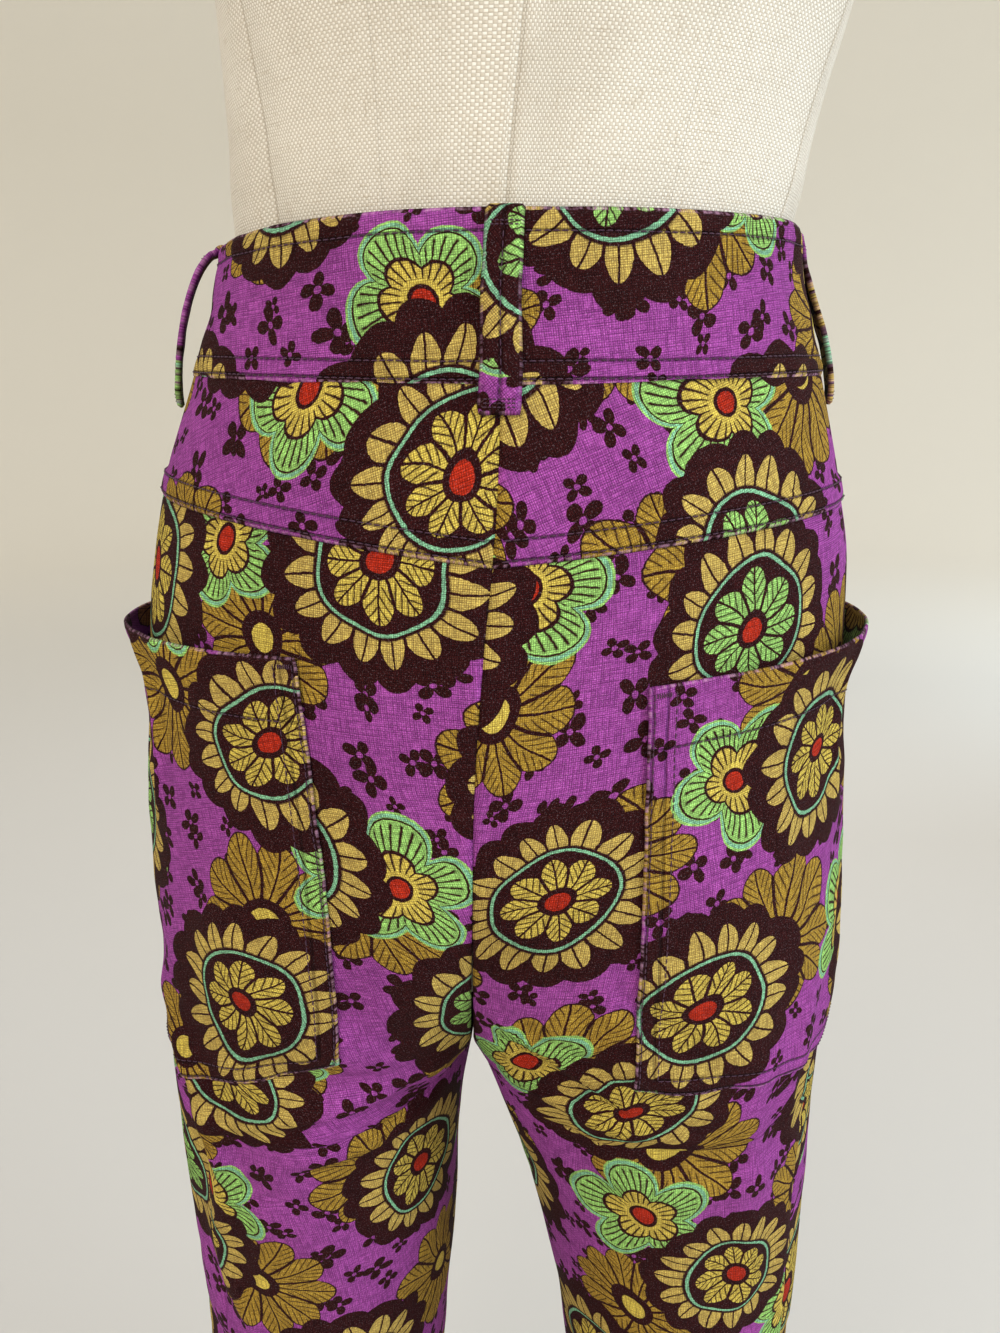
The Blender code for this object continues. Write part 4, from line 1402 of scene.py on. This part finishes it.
def pocket_surface(side, share, drop):
    """A pocket's outer face: the leg's drape below, a gape at the mouth between the stitched
    ends, a belly, soft folds, the mouth's hem, and puckers along its stitched edges."""
    share, drop = np.broadcast_arrays(np.asarray(share, float), np.asarray(drop, float))
    angle, height, sides, below, above = pocket_place(side, share, drop)
    full = np.sin(math.pi * share)
    gape = POCKET_GAPE * full**2 * bell(below, GAPE_DEPTH)
    belly = POCKET_FULL * full * np.clip(np.sin(math.pi * (0.12 + 0.88 * drop)), 0.0, 1.0)
    near = np.minimum(sides, above)
    free = smooth_step(0.006, 0.022, near)
    loose = POCKET_FOLD_RISE * folds(POCKET_FOLDS, side, angle, height) * free
    seed = 21.0 if side == "left" else 27.0
    arc = angle * 0.085
    loose = loose + settings().cloth.rumple * 0.9 * free * uneven(arc, height, 0.017, seed)
    hem = 0.00035 * smooth_step(POCKET_HEM + 0.001, POCKET_HEM - 0.001, below)
    welt = 0.00030 * bell(near - 0.0038, 0.0020) * smooth_step(0.0, 0.008, below)
    run = np.where(sides < above, height, arc)
    pucker = 0.00050 * uneven(run, near, 0.0062, seed + 2) * smooth_step(0.016, 0.001, near)
    mouth_wave = 0.0007 * full * uneven(arc, below, 0.019, seed + 4) * np.exp(-below / 0.02)
    base = settle(side, angle, height)
    out = base + LIFT + POCKET_CLOTH + gape + belly + loose + hem + welt + pucker + mouth_wave
    outer, normal = cloth(side, angle, height, out)
    return outer, normal, sides, below, above


def pocket(side):
    """A patch pocket that wraps the outseam, with a hemmed mouth and two rows of stitches."""
    share, drop = (graded(size, SMALL_PITCH, EDGE_STEP) for size in POCKET_SIZE)
    outer, normal, sides, below, above = pocket_surface(side, share[None, :], drop[:, None])
    outline = np.minimum(sides, above)
    rows = stitch_distances(*[outline - row for row in POCKET_ROWS], below - POCKET_HEM)
    edge = np.minimum(outline, below)
    piece = cloth_piece(f"pocket_{side}", outer, normal, POCKET_CLOTH, rows, edge)
    # Down one side, along the bottom and up the other side
    paths = []
    for row in POCKET_ROWS:
        inset, foot = row / POCKET_RUN[0], 1.0 - row / POCKET_RUN[1]
        down, level = np.linspace(0.012, foot, 260), np.linspace(inset, 1.0 - inset, 260)
        across = np.concatenate([np.full(260, inset), level[1:], np.full(259, 1.0 - inset)])
        deep = np.concatenate([down, np.full(259, foot), down[-2::-1]])
        paths.append(pocket_surface(side, across, deep)[:2])
    level = np.linspace(inset, 1.0 - inset, 300)
    mouth, bottom = (along(POCKETS[side][edge], level) for edge in ("mouth", "bottom"))
    paths.append(pocket_surface(side, level, POCKET_HEM / (mouth - bottom))[:2])
    stitches = stitch_rows(f"pocket_{side}_stitches", paths)
    tacks = []
    for corner in (0.020, 0.980):
        for step in np.linspace(-0.010, 0.010, 7):
            tacks.append(pocket_surface(side, corner + step, np.linspace(0.006, 0.030, 12))[:2])
    bars = stitch_rows(f"pocket_{side}_tacks", tacks, spacing=0.0024, size=0.00030)
    declare_cloth(piece, outer, [stitches, bars])


# ---------------------------------------------------------------- waistband and loops


def band_out(turn, height, low, high):
    """The band's offset: rounded edges, a welt between its lower rows, ripples, and its lap."""
    up, down = height - low, high - height
    arc = from_back(turn) * 0.105
    welt = 0.00045 * bell(up - 0.0040, 0.0022)
    welt = welt + 0.0004 * bell(down - 0.0030, 0.0030)
    edge = -0.0005 * bell(up, 0.0010) - 0.0005 * bell(down, 0.0012)
    near = np.minimum(np.abs(up - 0.005), np.abs(down - 0.005))
    pucker = 0.00050 * uneven(arc, height, 0.0066, 31.0) * smooth_step(0.012, 0.001, near)
    roll = 0.0012 * uneven(arc, height * 0.4, 0.034, 33.0) * np.sin(math.pi * np.clip(up / 0.055, 0, 1))
    sag = 0.0013 * bell(up - 0.024, 0.0070) * uneven(arc, arc * 0.0, 0.060, 35.0)
    roll = roll + 0.0005 * uneven(arc * 0.6, height, 0.012, 39.0)
    top_wave = 0.0006 * uneven(arc, arc * 0.0, 0.028, 37.0) * smooth_step(0.020, 0.0, down)
    lap = (BAND_CLOTH + LAP_CLEAR) * smooth_step(math.pi - 0.16, math.pi - 0.04, turn)
    return BAND_PROUD + 0.0004 + welt + edge + pucker + roll + sag + top_wave + lap


def band_edges(turn):
    """Heights of the band's lower and upper edges."""
    return waist_height(BAND_LINE, turn) - BAND_LAP, waist_height(BAND_EDGE, turn)


def waistband():
    """A contoured band, doubled over at the top, whose right end laps over its left end."""
    lap = math.radians(LAP_ANGLE)
    gap, inset = 0.003, 0.02
    turn = gap - math.pi + (2 * math.pi - gap + lap) * graded(BAND_SIZE[0], 0.0021, 0.0006)
    up = graded(BAND_SIZE[1], 0.0016, 0.0004)[::-1][:, None]
    low, high = band_edges(turn)
    height = low + (high - low) * up
    out = band_out(turn, height, low, high)
    outer, normal = round_waist(np.broadcast_to(turn, height.shape), height, out)
    low_rows = [height - low - row for row in BAND_ROWS_LOW]
    rows = stitch_distances(high - height - BAND_ROW_HIGH, *low_rows)
    edge = np.minimum(high - height, height - low)
    piece = cloth_piece("waistband", outer, normal, BAND_CLOTH, rows, edge)
    turns = np.linspace(inset - math.pi, math.pi + lap - inset, 1600)
    low, high = band_edges(turns)
    levels = [high - BAND_ROW_HIGH, *(low + row for row in BAND_ROWS_LOW)]
    paths = [round_waist(turns, level, band_out(turns, level, low, high)) for level in levels]
    # A short row up the lap's end
    end = np.full(40, turns[-1])
    level = np.linspace(levels[1][-1], levels[0][-1], 40)
    paths.append(round_waist(end, level, band_out(end, level, low[-1], high[-1])))
    declare_cloth(piece, outer, [stitch_rows("waistband_stitches", paths)])


def loop_path(side, angle, stand, lowness, foot, share):
    """Offset and height along a belt loop: over the band's edge as a quarter and more of an
    ellipse, down the band in a bow, and in to the yoke at its foot."""
    turn = math.radians(angle)
    high = float(band_height(BAND_EDGE, side, turn))
    low = float(band_height(BAND_LINE, side, turn)) - foot
    base = BAND_PROUD + 0.0007 + LOOP_CLOTH
    over = np.clip(share / LOOP_WRAP, 0.0, 1.0)
    theta = math.radians(108.0) * (1.0 - over)
    middle, wide, tall = -0.0002, base + 0.0002, 0.0026
    run = np.clip((share - LOOP_WRAP) / (1.0 - LOOP_WRAP), 0.0, 1.0)
    bow = stand * np.sin(math.pi * run**lowness) ** 0.8
    end = 0.0005 * smooth_step(0.90, 1.0, run)
    out = np.where(share < LOOP_WRAP, middle + wide * np.cos(theta), base + bow - end)
    top = high - 0.0012
    height = np.where(share < LOOP_WRAP, top + tall * np.sin(theta), top + (low - top) * run)
    return out, height


def loop_surface(loop, share, across):
    """A belt loop's outer face: its path carried across its width, domed, with folded sides."""
    side, angle, lean, *shape = loop
    share, across = np.broadcast_arrays(np.asarray(share, float), np.asarray(across, float))
    out, height = loop_path(side, angle, *shape, share)
    turn = math.radians(angle)
    level = float(band_height(BAND_LINE, side, turn))
    radius = float(half_section(side, level + 0.03)[1])
    dome = 0.00030 * (1.0 - (2 * across) ** 4)
    dome = dome - 0.00022 * bell(across * LOOP_WIDTH, 0.0007)
    wave = 0.00022 * uneven(share * 0.07, across * 0.011, 0.006, 41.0 + angle)
    turns = turn + across * LOOP_WIDTH / radius + math.radians(lean) * (share - 0.5)
    turns = turns + 0.0006 * uneven(share * 0.07, 0.0 * share, 0.012, 43.0 + angle) / radius
    if angle == 0.0:
        flat, normal = round_waist(turns, height, out * 0.0)
    else:
        flat, normal = cloth(side, turns, height, out * 0.0)
    return flat + normal * (out + dome + wave)[..., None]


def grid_normals(points, outward):
    """Normals of a grid from its two tangents, turned to agree with one outward direction."""
    down, over = np.gradient(points, axis=0), np.gradient(points, axis=1)
    normal = unit(np.cross(down, over))
    rows, columns = points.shape[:2]
    if np.dot(normal[rows // 2, columns // 2], outward) < 0:
        normal = -normal
    return normal


def belt_loop(name, loop):
    """A strip of folded linen over the band, tacked at its top and foot."""
    wrap, drop = np.linspace(0.0, LOOP_WRAP, 10)[:-1], np.linspace(LOOP_WRAP, 1.0, 46)
    share, across = np.concatenate([wrap, drop])[:, None], np.linspace(-0.5, 0.5, 15)[None, :]
    outer = loop_surface(loop, share, across)
    middle = (30, 7)
    normal = grid_normals(outer, outer[middle] * np.array([1.0, 1.0, 0.0]))
    sides = (0.5 - np.abs(across)) * LOOP_WIDTH
    edge = np.minimum(sides, (1.0 - share) * LOOP_LENGTH) + 0.0004
    rows = stitch_distances(across * LOOP_WIDTH + share * 0.0)
    piece = cloth_piece(name, outer, normal, LOOP_CLOTH, rows, edge)

    def path(level, beside):
        line = loop_surface(loop, level, beside)
        return line, np.broadcast_to(normal[middle], line.shape)

    fine = np.linspace(-0.43, 0.43, 30)
    bars = [path(level, fine) for level in (0.150, 0.168, 0.945, 0.963, 0.981)]
    tacks = stitch_rows(f"{name}_tacks", bars, spacing=0.0016, size=0.00026)
    seam = stitch_rows(f"{name}_stitches", [path(np.linspace(0.19, 0.93, 120), 0.0)], size=0.00022)
    declare_cloth(piece, outer, [tacks, seam])


# ---------------------------------------------------------------- fly and button


def fly_width(share, least=0.0):
    """The fly's width at a share of its length."""
    start, over = FLY_CURVE
    curve = np.clip((share - start) / over, 0.0, 1.0)
    return FLY_WIDTH * np.sqrt(np.clip(1.0 - curve**2, least, 1.0))


def fly_surface(across, share):
    """The fly strip: across from its free edge to the centre front, share down from the band."""
    across, share = np.broadcast_arrays(np.asarray(across, float), np.asarray(share, float))
    top = BAND_LINE["right"][2] - 0.0004
    height = top + (FLY_FOOT - top) * share
    width = fly_width(share)
    left, right = across * width, (1.0 - across) * width
    end = math.pi - first_angle("right", height) - 0.001
    angle = end - right / half_section("right", height)[1]
    dip = 0.0002 * np.exp(-np.minimum(left, right) / 0.0010)
    out = settle("right", angle, height) + 0.0003 + LEG_CLOTH - dip
    return *cloth("right", angle, height, out), left, right


def fly():
    """The stitched fly on the right front, curving in to the centre seam at its foot."""
    across = graded(FLY_WIDTH, 0.0018, 0.0005)[None, :]
    share = graded(0.140, 0.0020, 0.0005)[:, None]
    outer, normal, left, right = fly_surface(across, share)
    rows = stitch_distances(left - FLY_ROWS[0])
    piece = cloth_piece("fly", outer, normal, LEG_CLOTH, rows, np.minimum(left, right))
    down = np.linspace(0.01, 0.985, 220)
    width = fly_width(down, 0.01)
    paths = [fly_surface(np.clip(row / width, 0.0, 0.9), down)[:2] for row in FLY_ROWS]
    declare_cloth(piece, outer, [stitch_rows("fly_stitches", paths)])


def turned_mesh(name, profile, centre, axis, sides, inward=False):
    """A turned surface: radius and height along an axis, one ring each."""
    axis = unit(np.asarray(axis, float))
    side = (1.0, 0.0, 0.0) if abs(axis[2]) > 0.9 else np.cross(axis, (0.0, 0.0, 1.0))
    side = unit(np.asarray(side))
    up = np.cross(axis, side)
    radius, height = np.asarray(profile, float).T[:, :, None, None]
    turn = np.arange(sides) * 2 * math.pi / sides
    ring = np.cos(turn)[:, None] * side + np.sin(turn)[:, None] * up
    points = centre + radius * ring + height * axis
    quads = grid_quads(len(profile), sides, wrap=True)
    return mesh_of(name, points.reshape(-1, 3), quads[:, ::-1] if inward else quads)


def rounded_profile(stations, radius, steps=5):
    """A turned outline with each inner corner rounded by a quadratic curve."""
    stations = [np.asarray(s, float) for s in stations]
    line = [stations[0]]
    for before, corner, after in zip(stations, stations[1:], stations[2:]):
        back, ahead = np.linalg.norm(before - corner), np.linalg.norm(after - corner)
        reach = min(radius, min(back, ahead) * 0.49)
        start = corner + (before - corner) / back * reach
        end = corner + (after - corner) / ahead * reach
        t = np.linspace(0.0, 1.0, steps)[:, None]
        line.extend((1 - t) ** 2 * start + 2 * t * (1 - t) * corner + t**2 * end)
    line.append(stations[-1])
    return np.array(line)


def waist_button():
    """A dished button with a rolled rim, sewn on with two rows of thread."""
    turn = math.pi + math.radians(BUTTON_ANGLE)
    height = (BAND_LINE["right"][2] + BAND_EDGE["right"][2]) / 2
    out = BAND_PROUD + BAND_CLOTH + LAP_CLEAR + 0.0016
    place, axis = (each[0] for each in round_waist(*np.array([[turn], [height], [out]])))
    r, h = BUTTON_RADIUS, BUTTON_THICK
    stations = [
        (0.0, 0.0), (0.86 * r, 0.0), (r, 0.3 * h), (r, 0.72 * h), (0.88 * r, h), (0.74 * r, 0.96 * h),
        (0.60 * r, 0.62 * h), (0.0, 0.60 * h),
    ]
    mesh = turned_mesh("waist_button_horn", rounded_profile(stations, 0.0006), place, axis, 48)
    stand_in_scene(mesh, button_horn, ["waist_button"])
    side = unit(np.cross(axis, (0.0, 0.0, 1.0)))
    up = np.cross(side, axis)
    across = np.linspace(-0.0022, 0.0022, 12)[:, None]
    paths = []
    for row in (-0.0012, 0.0012):
        line = place + side * across + up * row + axis * (0.62 * h)
        paths.append((line, np.broadcast_to(axis, line.shape)))
    stitch_rows("waist_button_stitches", paths, spacing=0.0040, size=0.00045)


# ---------------------------------------------------------------- form and stand

# The back princess seams' angles from the centre back, in degrees
BACK_SEAM = (
    ("height", "left", "right"),
    (0.745, 38.0, 50.0),
    (1.050, 47.0, 63.0),
    (1.170, 62.0, 73.0),
    (1.300, 64.0, 70.0),
    (1.390, 62.0, 64.0),
    (1.505, 60.0, 60.0),
)
# Height and depth of the lapped ridge and the groove on the form's seams
SEAM_RIDGE = 0.00045
SEAM_GROOVE = 0.0004


def form_cover(side, angle, height):
    """The form's surface: the body's section, set in where the trousers cover it."""
    cover = smooth_step(0.0, 1.0, (1.068 - height) / 0.030)
    out = -0.0042 * cover + 0.0004 * uneven(angle * 0.1, height, 0.060, 51.0)
    return cloth(side, angle, height, out)


def form_half(side, levels):
    """One half of the torso: rows of points that follow the centre, princess and side seams,
    with a low lapped ridge on one side of each, and each point's distance from a seam."""
    fine = graded(0.075, 0.0052, 0.0008)[:-1]
    half = half_section(side, levels)[1][:, None]
    first = first_angle(side, levels)
    back = np.radians(column(BACK_SEAM, side, levels))
    stops = [first, back, np.full(len(levels), math.pi / 2), math.pi - back, math.pi - first]
    stops = [stop[:, None] for stop in stops]
    turns, gaps = [], []
    for low, high in zip(stops, stops[1:]):
        turns.append(low + (high - low) * fine)
        toward, away = (turns[-1] - low) * half, (turns[-1] - high) * half
        gaps.append(np.where(np.abs(toward) < np.abs(away), toward, away))
    angle = np.concatenate([*turns, stops[-1]], 1)
    gap = np.concatenate([*gaps, np.zeros((len(levels), 1))], 1)
    height = np.broadcast_to(levels[:, None], angle.shape)
    points, normal = form_cover(side, angle, height)
    lap = smooth_step(-0.0004, 0.0002, gap) * smooth_step(0.0055, 0.0045, gap)
    groove = bell(gap, 0.0006)
    points = points + normal * (SEAM_RIDGE * lap - SEAM_GROOVE * groove)[..., None]
    points[:, :, 2] = height
    return points, gap


def form_torso():
    """The torso: level rings of both halves, closed over the bottom and under the neck cap."""
    low, high = (corner[2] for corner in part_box("form_torso"))
    levels = low + (high - low) * graded(high - low, 0.0046, 0.0008)
    right, left = form_half("right", levels), form_half("left", levels)
    ring, mark = (np.concatenate([a, b[:, -2:0:-1]], 1) for a, b in zip(right, left))
    steps = np.array([0.0, 0.35, 0.7, 0.94])[:, None, None]
    foot, neck = ring[0].mean(0), ring[-1].mean(0)
    bottom, top = foot + (ring[0] - foot) * steps, neck + (ring[-1] - neck) * steps[::-1]
    ring = np.concatenate([bottom, ring, top])
    closed = np.full((4, ring.shape[1]), FAR)
    mark = np.concatenate([closed, mark, closed])
    quads = grid_quads(*ring.shape[:2], wrap=True)
    mesh = mesh_of("form_torso_cover", ring.reshape(-1, 3), quads)
    around = np.linalg.norm(np.diff(ring, axis=1, append=ring[:, :1]), axis=-1).mean(0).cumsum()
    up = np.concatenate([[0.0], np.linalg.norm(np.diff(ring, axis=0), axis=-1).mean(1).cumsum()])
    uv = np.stack(np.broadcast_arrays(around[None, :], up[:, None]), -1).reshape(-1, 2)

    def run_on(corners):
        """The last column joins the first one: its faces run on past the full way round."""
        quad = corners.reshape(-1, 4, 2)
        jump = quad[:, :, 0].max(1) - quad[:, :, 0].min(1) > around[-1] / 2
        wrapped = quad[:, :, 0] < around[-1] / 2
        quad[:, :, 0] += np.where(jump[:, None] & wrapped, around[-1], 0.0)
        return quad

    store_cut(mesh, uv, run_on)
    store(mesh, "seam_line", np.repeat(mark.reshape(-1, 1), 3, axis=1))
    stand_in_scene(mesh, cream_canvas, ["form_torso"])


def stand_outline(node, r, low, high):
    """A stand piece's outline between its foot and its top: radius and height."""
    tall = high - low
    return {
        "form_neck_cap": (
            (0.92 * r, low), (r, low + 0.12 * tall), (0.99 * r, low + 0.36 * tall),
            (0.955 * r, low + 0.42 * tall), (0.93 * r, low + 0.50 * tall),
            (0.80 * r, low + 0.76 * tall), (0.50 * r, low + 0.94 * tall),
        ),
        "form_socket": ((ROD_RADIUS + 0.006, low), (r, low + 0.010), (r, high)),
        "form_rod": ((ROD_RADIUS, low), (ROD_RADIUS, high)),
        "form_hub": (
            (r, low), (r, low + 0.0022), (r - 0.006, low + 0.0060), (r - 0.010, low + 0.014),
            (r - 0.0135, high - 0.003), (r - 0.0165, high),
        ),
        "form_base": ((r - 0.001, low), (r, low + 0.0012), (r, high - 0.0018), (r - 0.0026, high)),
    }[node]


# The stand's pieces: name's ending, finish, CAD slot, rounding of the corners, sides, and the
# axis's x, or None for the middle of the piece's own box
STAND = {
    "form_neck_cap": ("wood", varnished_wood, "cap_wood", 0.0040, 72, None),
    "form_socket": ("metal", coated_steel, "stand_metal", 0.0016, 72, ROD_X),
    "form_rod": ("metal", coated_steel, "stand_metal", 0.0008, 48, ROD_X),
    "form_hub": ("metal", coated_steel, "stand_metal", 0.0018, 72, ROD_X),
    "form_base": ("metal", coated_steel, "stand_metal", 0.0009, 144, 0.0),
}


def stand_pieces():
    """Neck cap, socket, rod, hub and base, turned finer than the solids they stand for."""
    for node, (ending, make, slot, rounding, sides, axis) in STAND.items():
        low, high = np.array(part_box(node), float)
        outline = stand_outline(node, (high[0] - low[0]) / 2, low[2], high[2])
        profile = rounded_profile([(0.0, low[2]), *outline, (0.0, high[2])], rounding)
        middle = (low + high) / 2
        centre = np.array([middle[0] if axis is None else axis, middle[1], 0.0])
        mesh = turned_mesh(f"{node}_{ending}", profile, centre, (0.0, 0.0, 1.0), sides)
        stand_in_scene(mesh, make, [node])


# ---------------------------------------------------------------- stage


def round_room():
    """A floor that curves up into a round wall: a turned outline seen from within."""
    reach, curve = settings().stage.radius, 3.0
    bend = np.linspace(0.0, math.pi / 2, 16)[1:]
    flat = np.stack([np.linspace(0.0, reach - curve, 12), np.zeros(12)], -1)
    rise = np.stack([reach - curve + curve * np.sin(bend), curve - curve * np.cos(bend)], -1)
    profile = np.concatenate([flat, rise, [[reach, 5.0], [reach, reach - 1.0]]])
    mesh = turned_mesh("room", profile, np.zeros(3), (0.0, 0.0, 1.0), 96, inward=True)
    mesh.materials.append(finish_of(room_paint))
    new_object("room", mesh)


# The lights: place, target, size, power as a share of the key light's, and colour
BODY = (0.0, 0.0, 0.95)
LIGHTS = (
    ("window_light", (1.7, -0.70, 1.45), BODY, (1.0, 1.5), 1.14, (0.78, 0.90, 1.0)),
    ("room_light", (-0.9, -2.0, 1.9), BODY, (1.3, 1.3), 1.02, (1.0, 0.95, 0.88)),
    ("front_light", (0.4, 2.2, 2.0), BODY, (1.8, 1.6), 0.8, (1.0, 0.98, 0.95)),
    ("wall_light", (3.5, 2.0, 1.9), (3.4, 8.0, 0.9), (3.0, 2.4), 4.2, (0.68, 0.84, 1.0)),
)


def area_light(name, place, target, size, power, colour):
    """A soft window of light that faces its target."""
    lamp = bpy.data.lights.new(name, "AREA")
    lamp.shape = "RECTANGLE"
    lamp.size, lamp.size_y = size
    lamp.energy = power
    lamp.color = colour
    made = new_object(name, lamp)
    made.location = place
    x, y, z = np.subtract(target, place)
    made.rotation_euler = (math.atan2(math.hypot(x, y), -z), 0.0, math.atan2(-x, y))


def lights():
    """A window on the wearer's right, a weak one behind the viewer on the left, one in front of
    the form, one on the far wall, and a pale sky."""
    key = settings().stage.key
    for name, place, target, size, share, colour in LIGHTS:
        area_light(name, place, target, size, key * share, colour)
    world = bpy.data.worlds.new("pale_sky")
    world.use_nodes = True
    sky = world.node_tree.nodes["Background"]
    sky.inputs["Color"].default_value = (*srgb(239, 238, 236), 1.0)
    sky.inputs["Strength"].default_value = 1.15
    bpy.context.scene.world = world


def camera():
    stage = settings().stage
    lens = bpy.data.cameras.new("camera")
    lens.sensor_fit = "AUTO"
    lens.sensor_width = 36.0
    lens.lens = 27.03
    lens.clip_start = 0.02
    made = new_object("camera", lens)
    made.location = stage.place
    made.rotation_euler = (math.pi / 2 - stage.tilt, 0.0, stage.turn)
    bpy.context.scene.camera = made


# ---------------------------------------------------------------- add-on


class TrousersSettings(bpy.types.PropertyGroup):
    """All settings, on the scene."""

    cloth: bpy.props.PointerProperty(type=TrousersCloth, name="Cloth", description="The trousers")
    form: bpy.props.PointerProperty(type=TrousersForm, name="Form", description="The dress form")
    stage: bpy.props.PointerProperty(type=TrousersStage, name="Stage", description="Room and light")


class TROUSERS_OT_stage(bpy.types.Operator):
    """Make the room, the lights and the camera"""

    bl_idname = "trousers.stage"
    bl_label = "Stage"

    def execute(self, context):
        round_room()
        lights()
        camera()
        context.scene.view_settings.view_transform = "Standard"
        return {"FINISHED"}


class TROUSERS_OT_form(bpy.types.Operator):
    """Cover the form and make its neck cap, rod, hub and base"""

    bl_idname = "trousers.form"
    bl_label = "Form and stand"

    def execute(self, context):
        form_torso()
        stand_pieces()
        return {"FINISHED"}


class TROUSERS_OT_legs(bpy.types.Operator):
    """Make the back and front legs"""

    bl_idname = "trousers.legs"
    bl_label = "Legs"

    def execute(self, context):
        for side in SIGN:
            back_leg(side)
            front_leg(side)
        return {"FINISHED"}


class TROUSERS_OT_yokes(bpy.types.Operator):
    """Make the back yokes"""

    bl_idname = "trousers.yokes"
    bl_label = "Yokes"

    def execute(self, context):
        for side in SIGN:
            back_yoke(side)
        return {"FINISHED"}


class TROUSERS_OT_pockets(bpy.types.Operator):
    """Make the patch pockets"""

    bl_idname = "trousers.pockets"
    bl_label = "Pockets"

    def execute(self, context):
        for side in SIGN:
            pocket(side)
        return {"FINISHED"}


class TROUSERS_OT_waist(bpy.types.Operator):
    """Make the waistband, belt loops, fly and button"""

    bl_idname = "trousers.waist"
    bl_label = "Waist"

    def execute(self, context):
        waistband()
        fly()
        for name, *loop in LOOPS:
            belt_loop(name, loop)
        waist_button()
        return {"FINISHED"}


OPERATORS = (
    TROUSERS_OT_stage,
    TROUSERS_OT_form,
    TROUSERS_OT_legs,
    TROUSERS_OT_yokes,
    TROUSERS_OT_pockets,
    TROUSERS_OT_waist,
)


class TROUSERS_PT_panel(bpy.types.Panel):
    """Lists the operators and the settings"""

    bl_idname = "TROUSERS_PT_panel"
    bl_label = "Cropped linen trousers"
    bl_space_type = "VIEW_3D"
    bl_region_type = "UI"
    bl_category = "Trousers"

    def draw(self, context):
        for operator in OPERATORS:
            self.layout.operator(operator.bl_idname)
        for group in (settings().cloth, settings().form, settings().stage):
            box = self.layout.box()
            for name in group.__annotations__:
                box.prop(group, name)


CLASSES = (TrousersCloth, TrousersForm, TrousersStage, TrousersSettings, *OPERATORS, TROUSERS_PT_panel)


def register():
    for kind in CLASSES:
        bpy.utils.register_class(kind)
    bpy.types.Scene.trousers = bpy.props.PointerProperty(type=TrousersSettings)


def unregister():
    del bpy.types.Scene.trousers
    for kind in reversed(CLASSES):
        bpy.utils.unregister_class(kind)


def main():
    register()
    for operator in OPERATORS:
        group, name = operator.bl_idname.split(".")
        getattr(getattr(bpy.ops, group), name)()


if __name__ == "__main__":
    main()
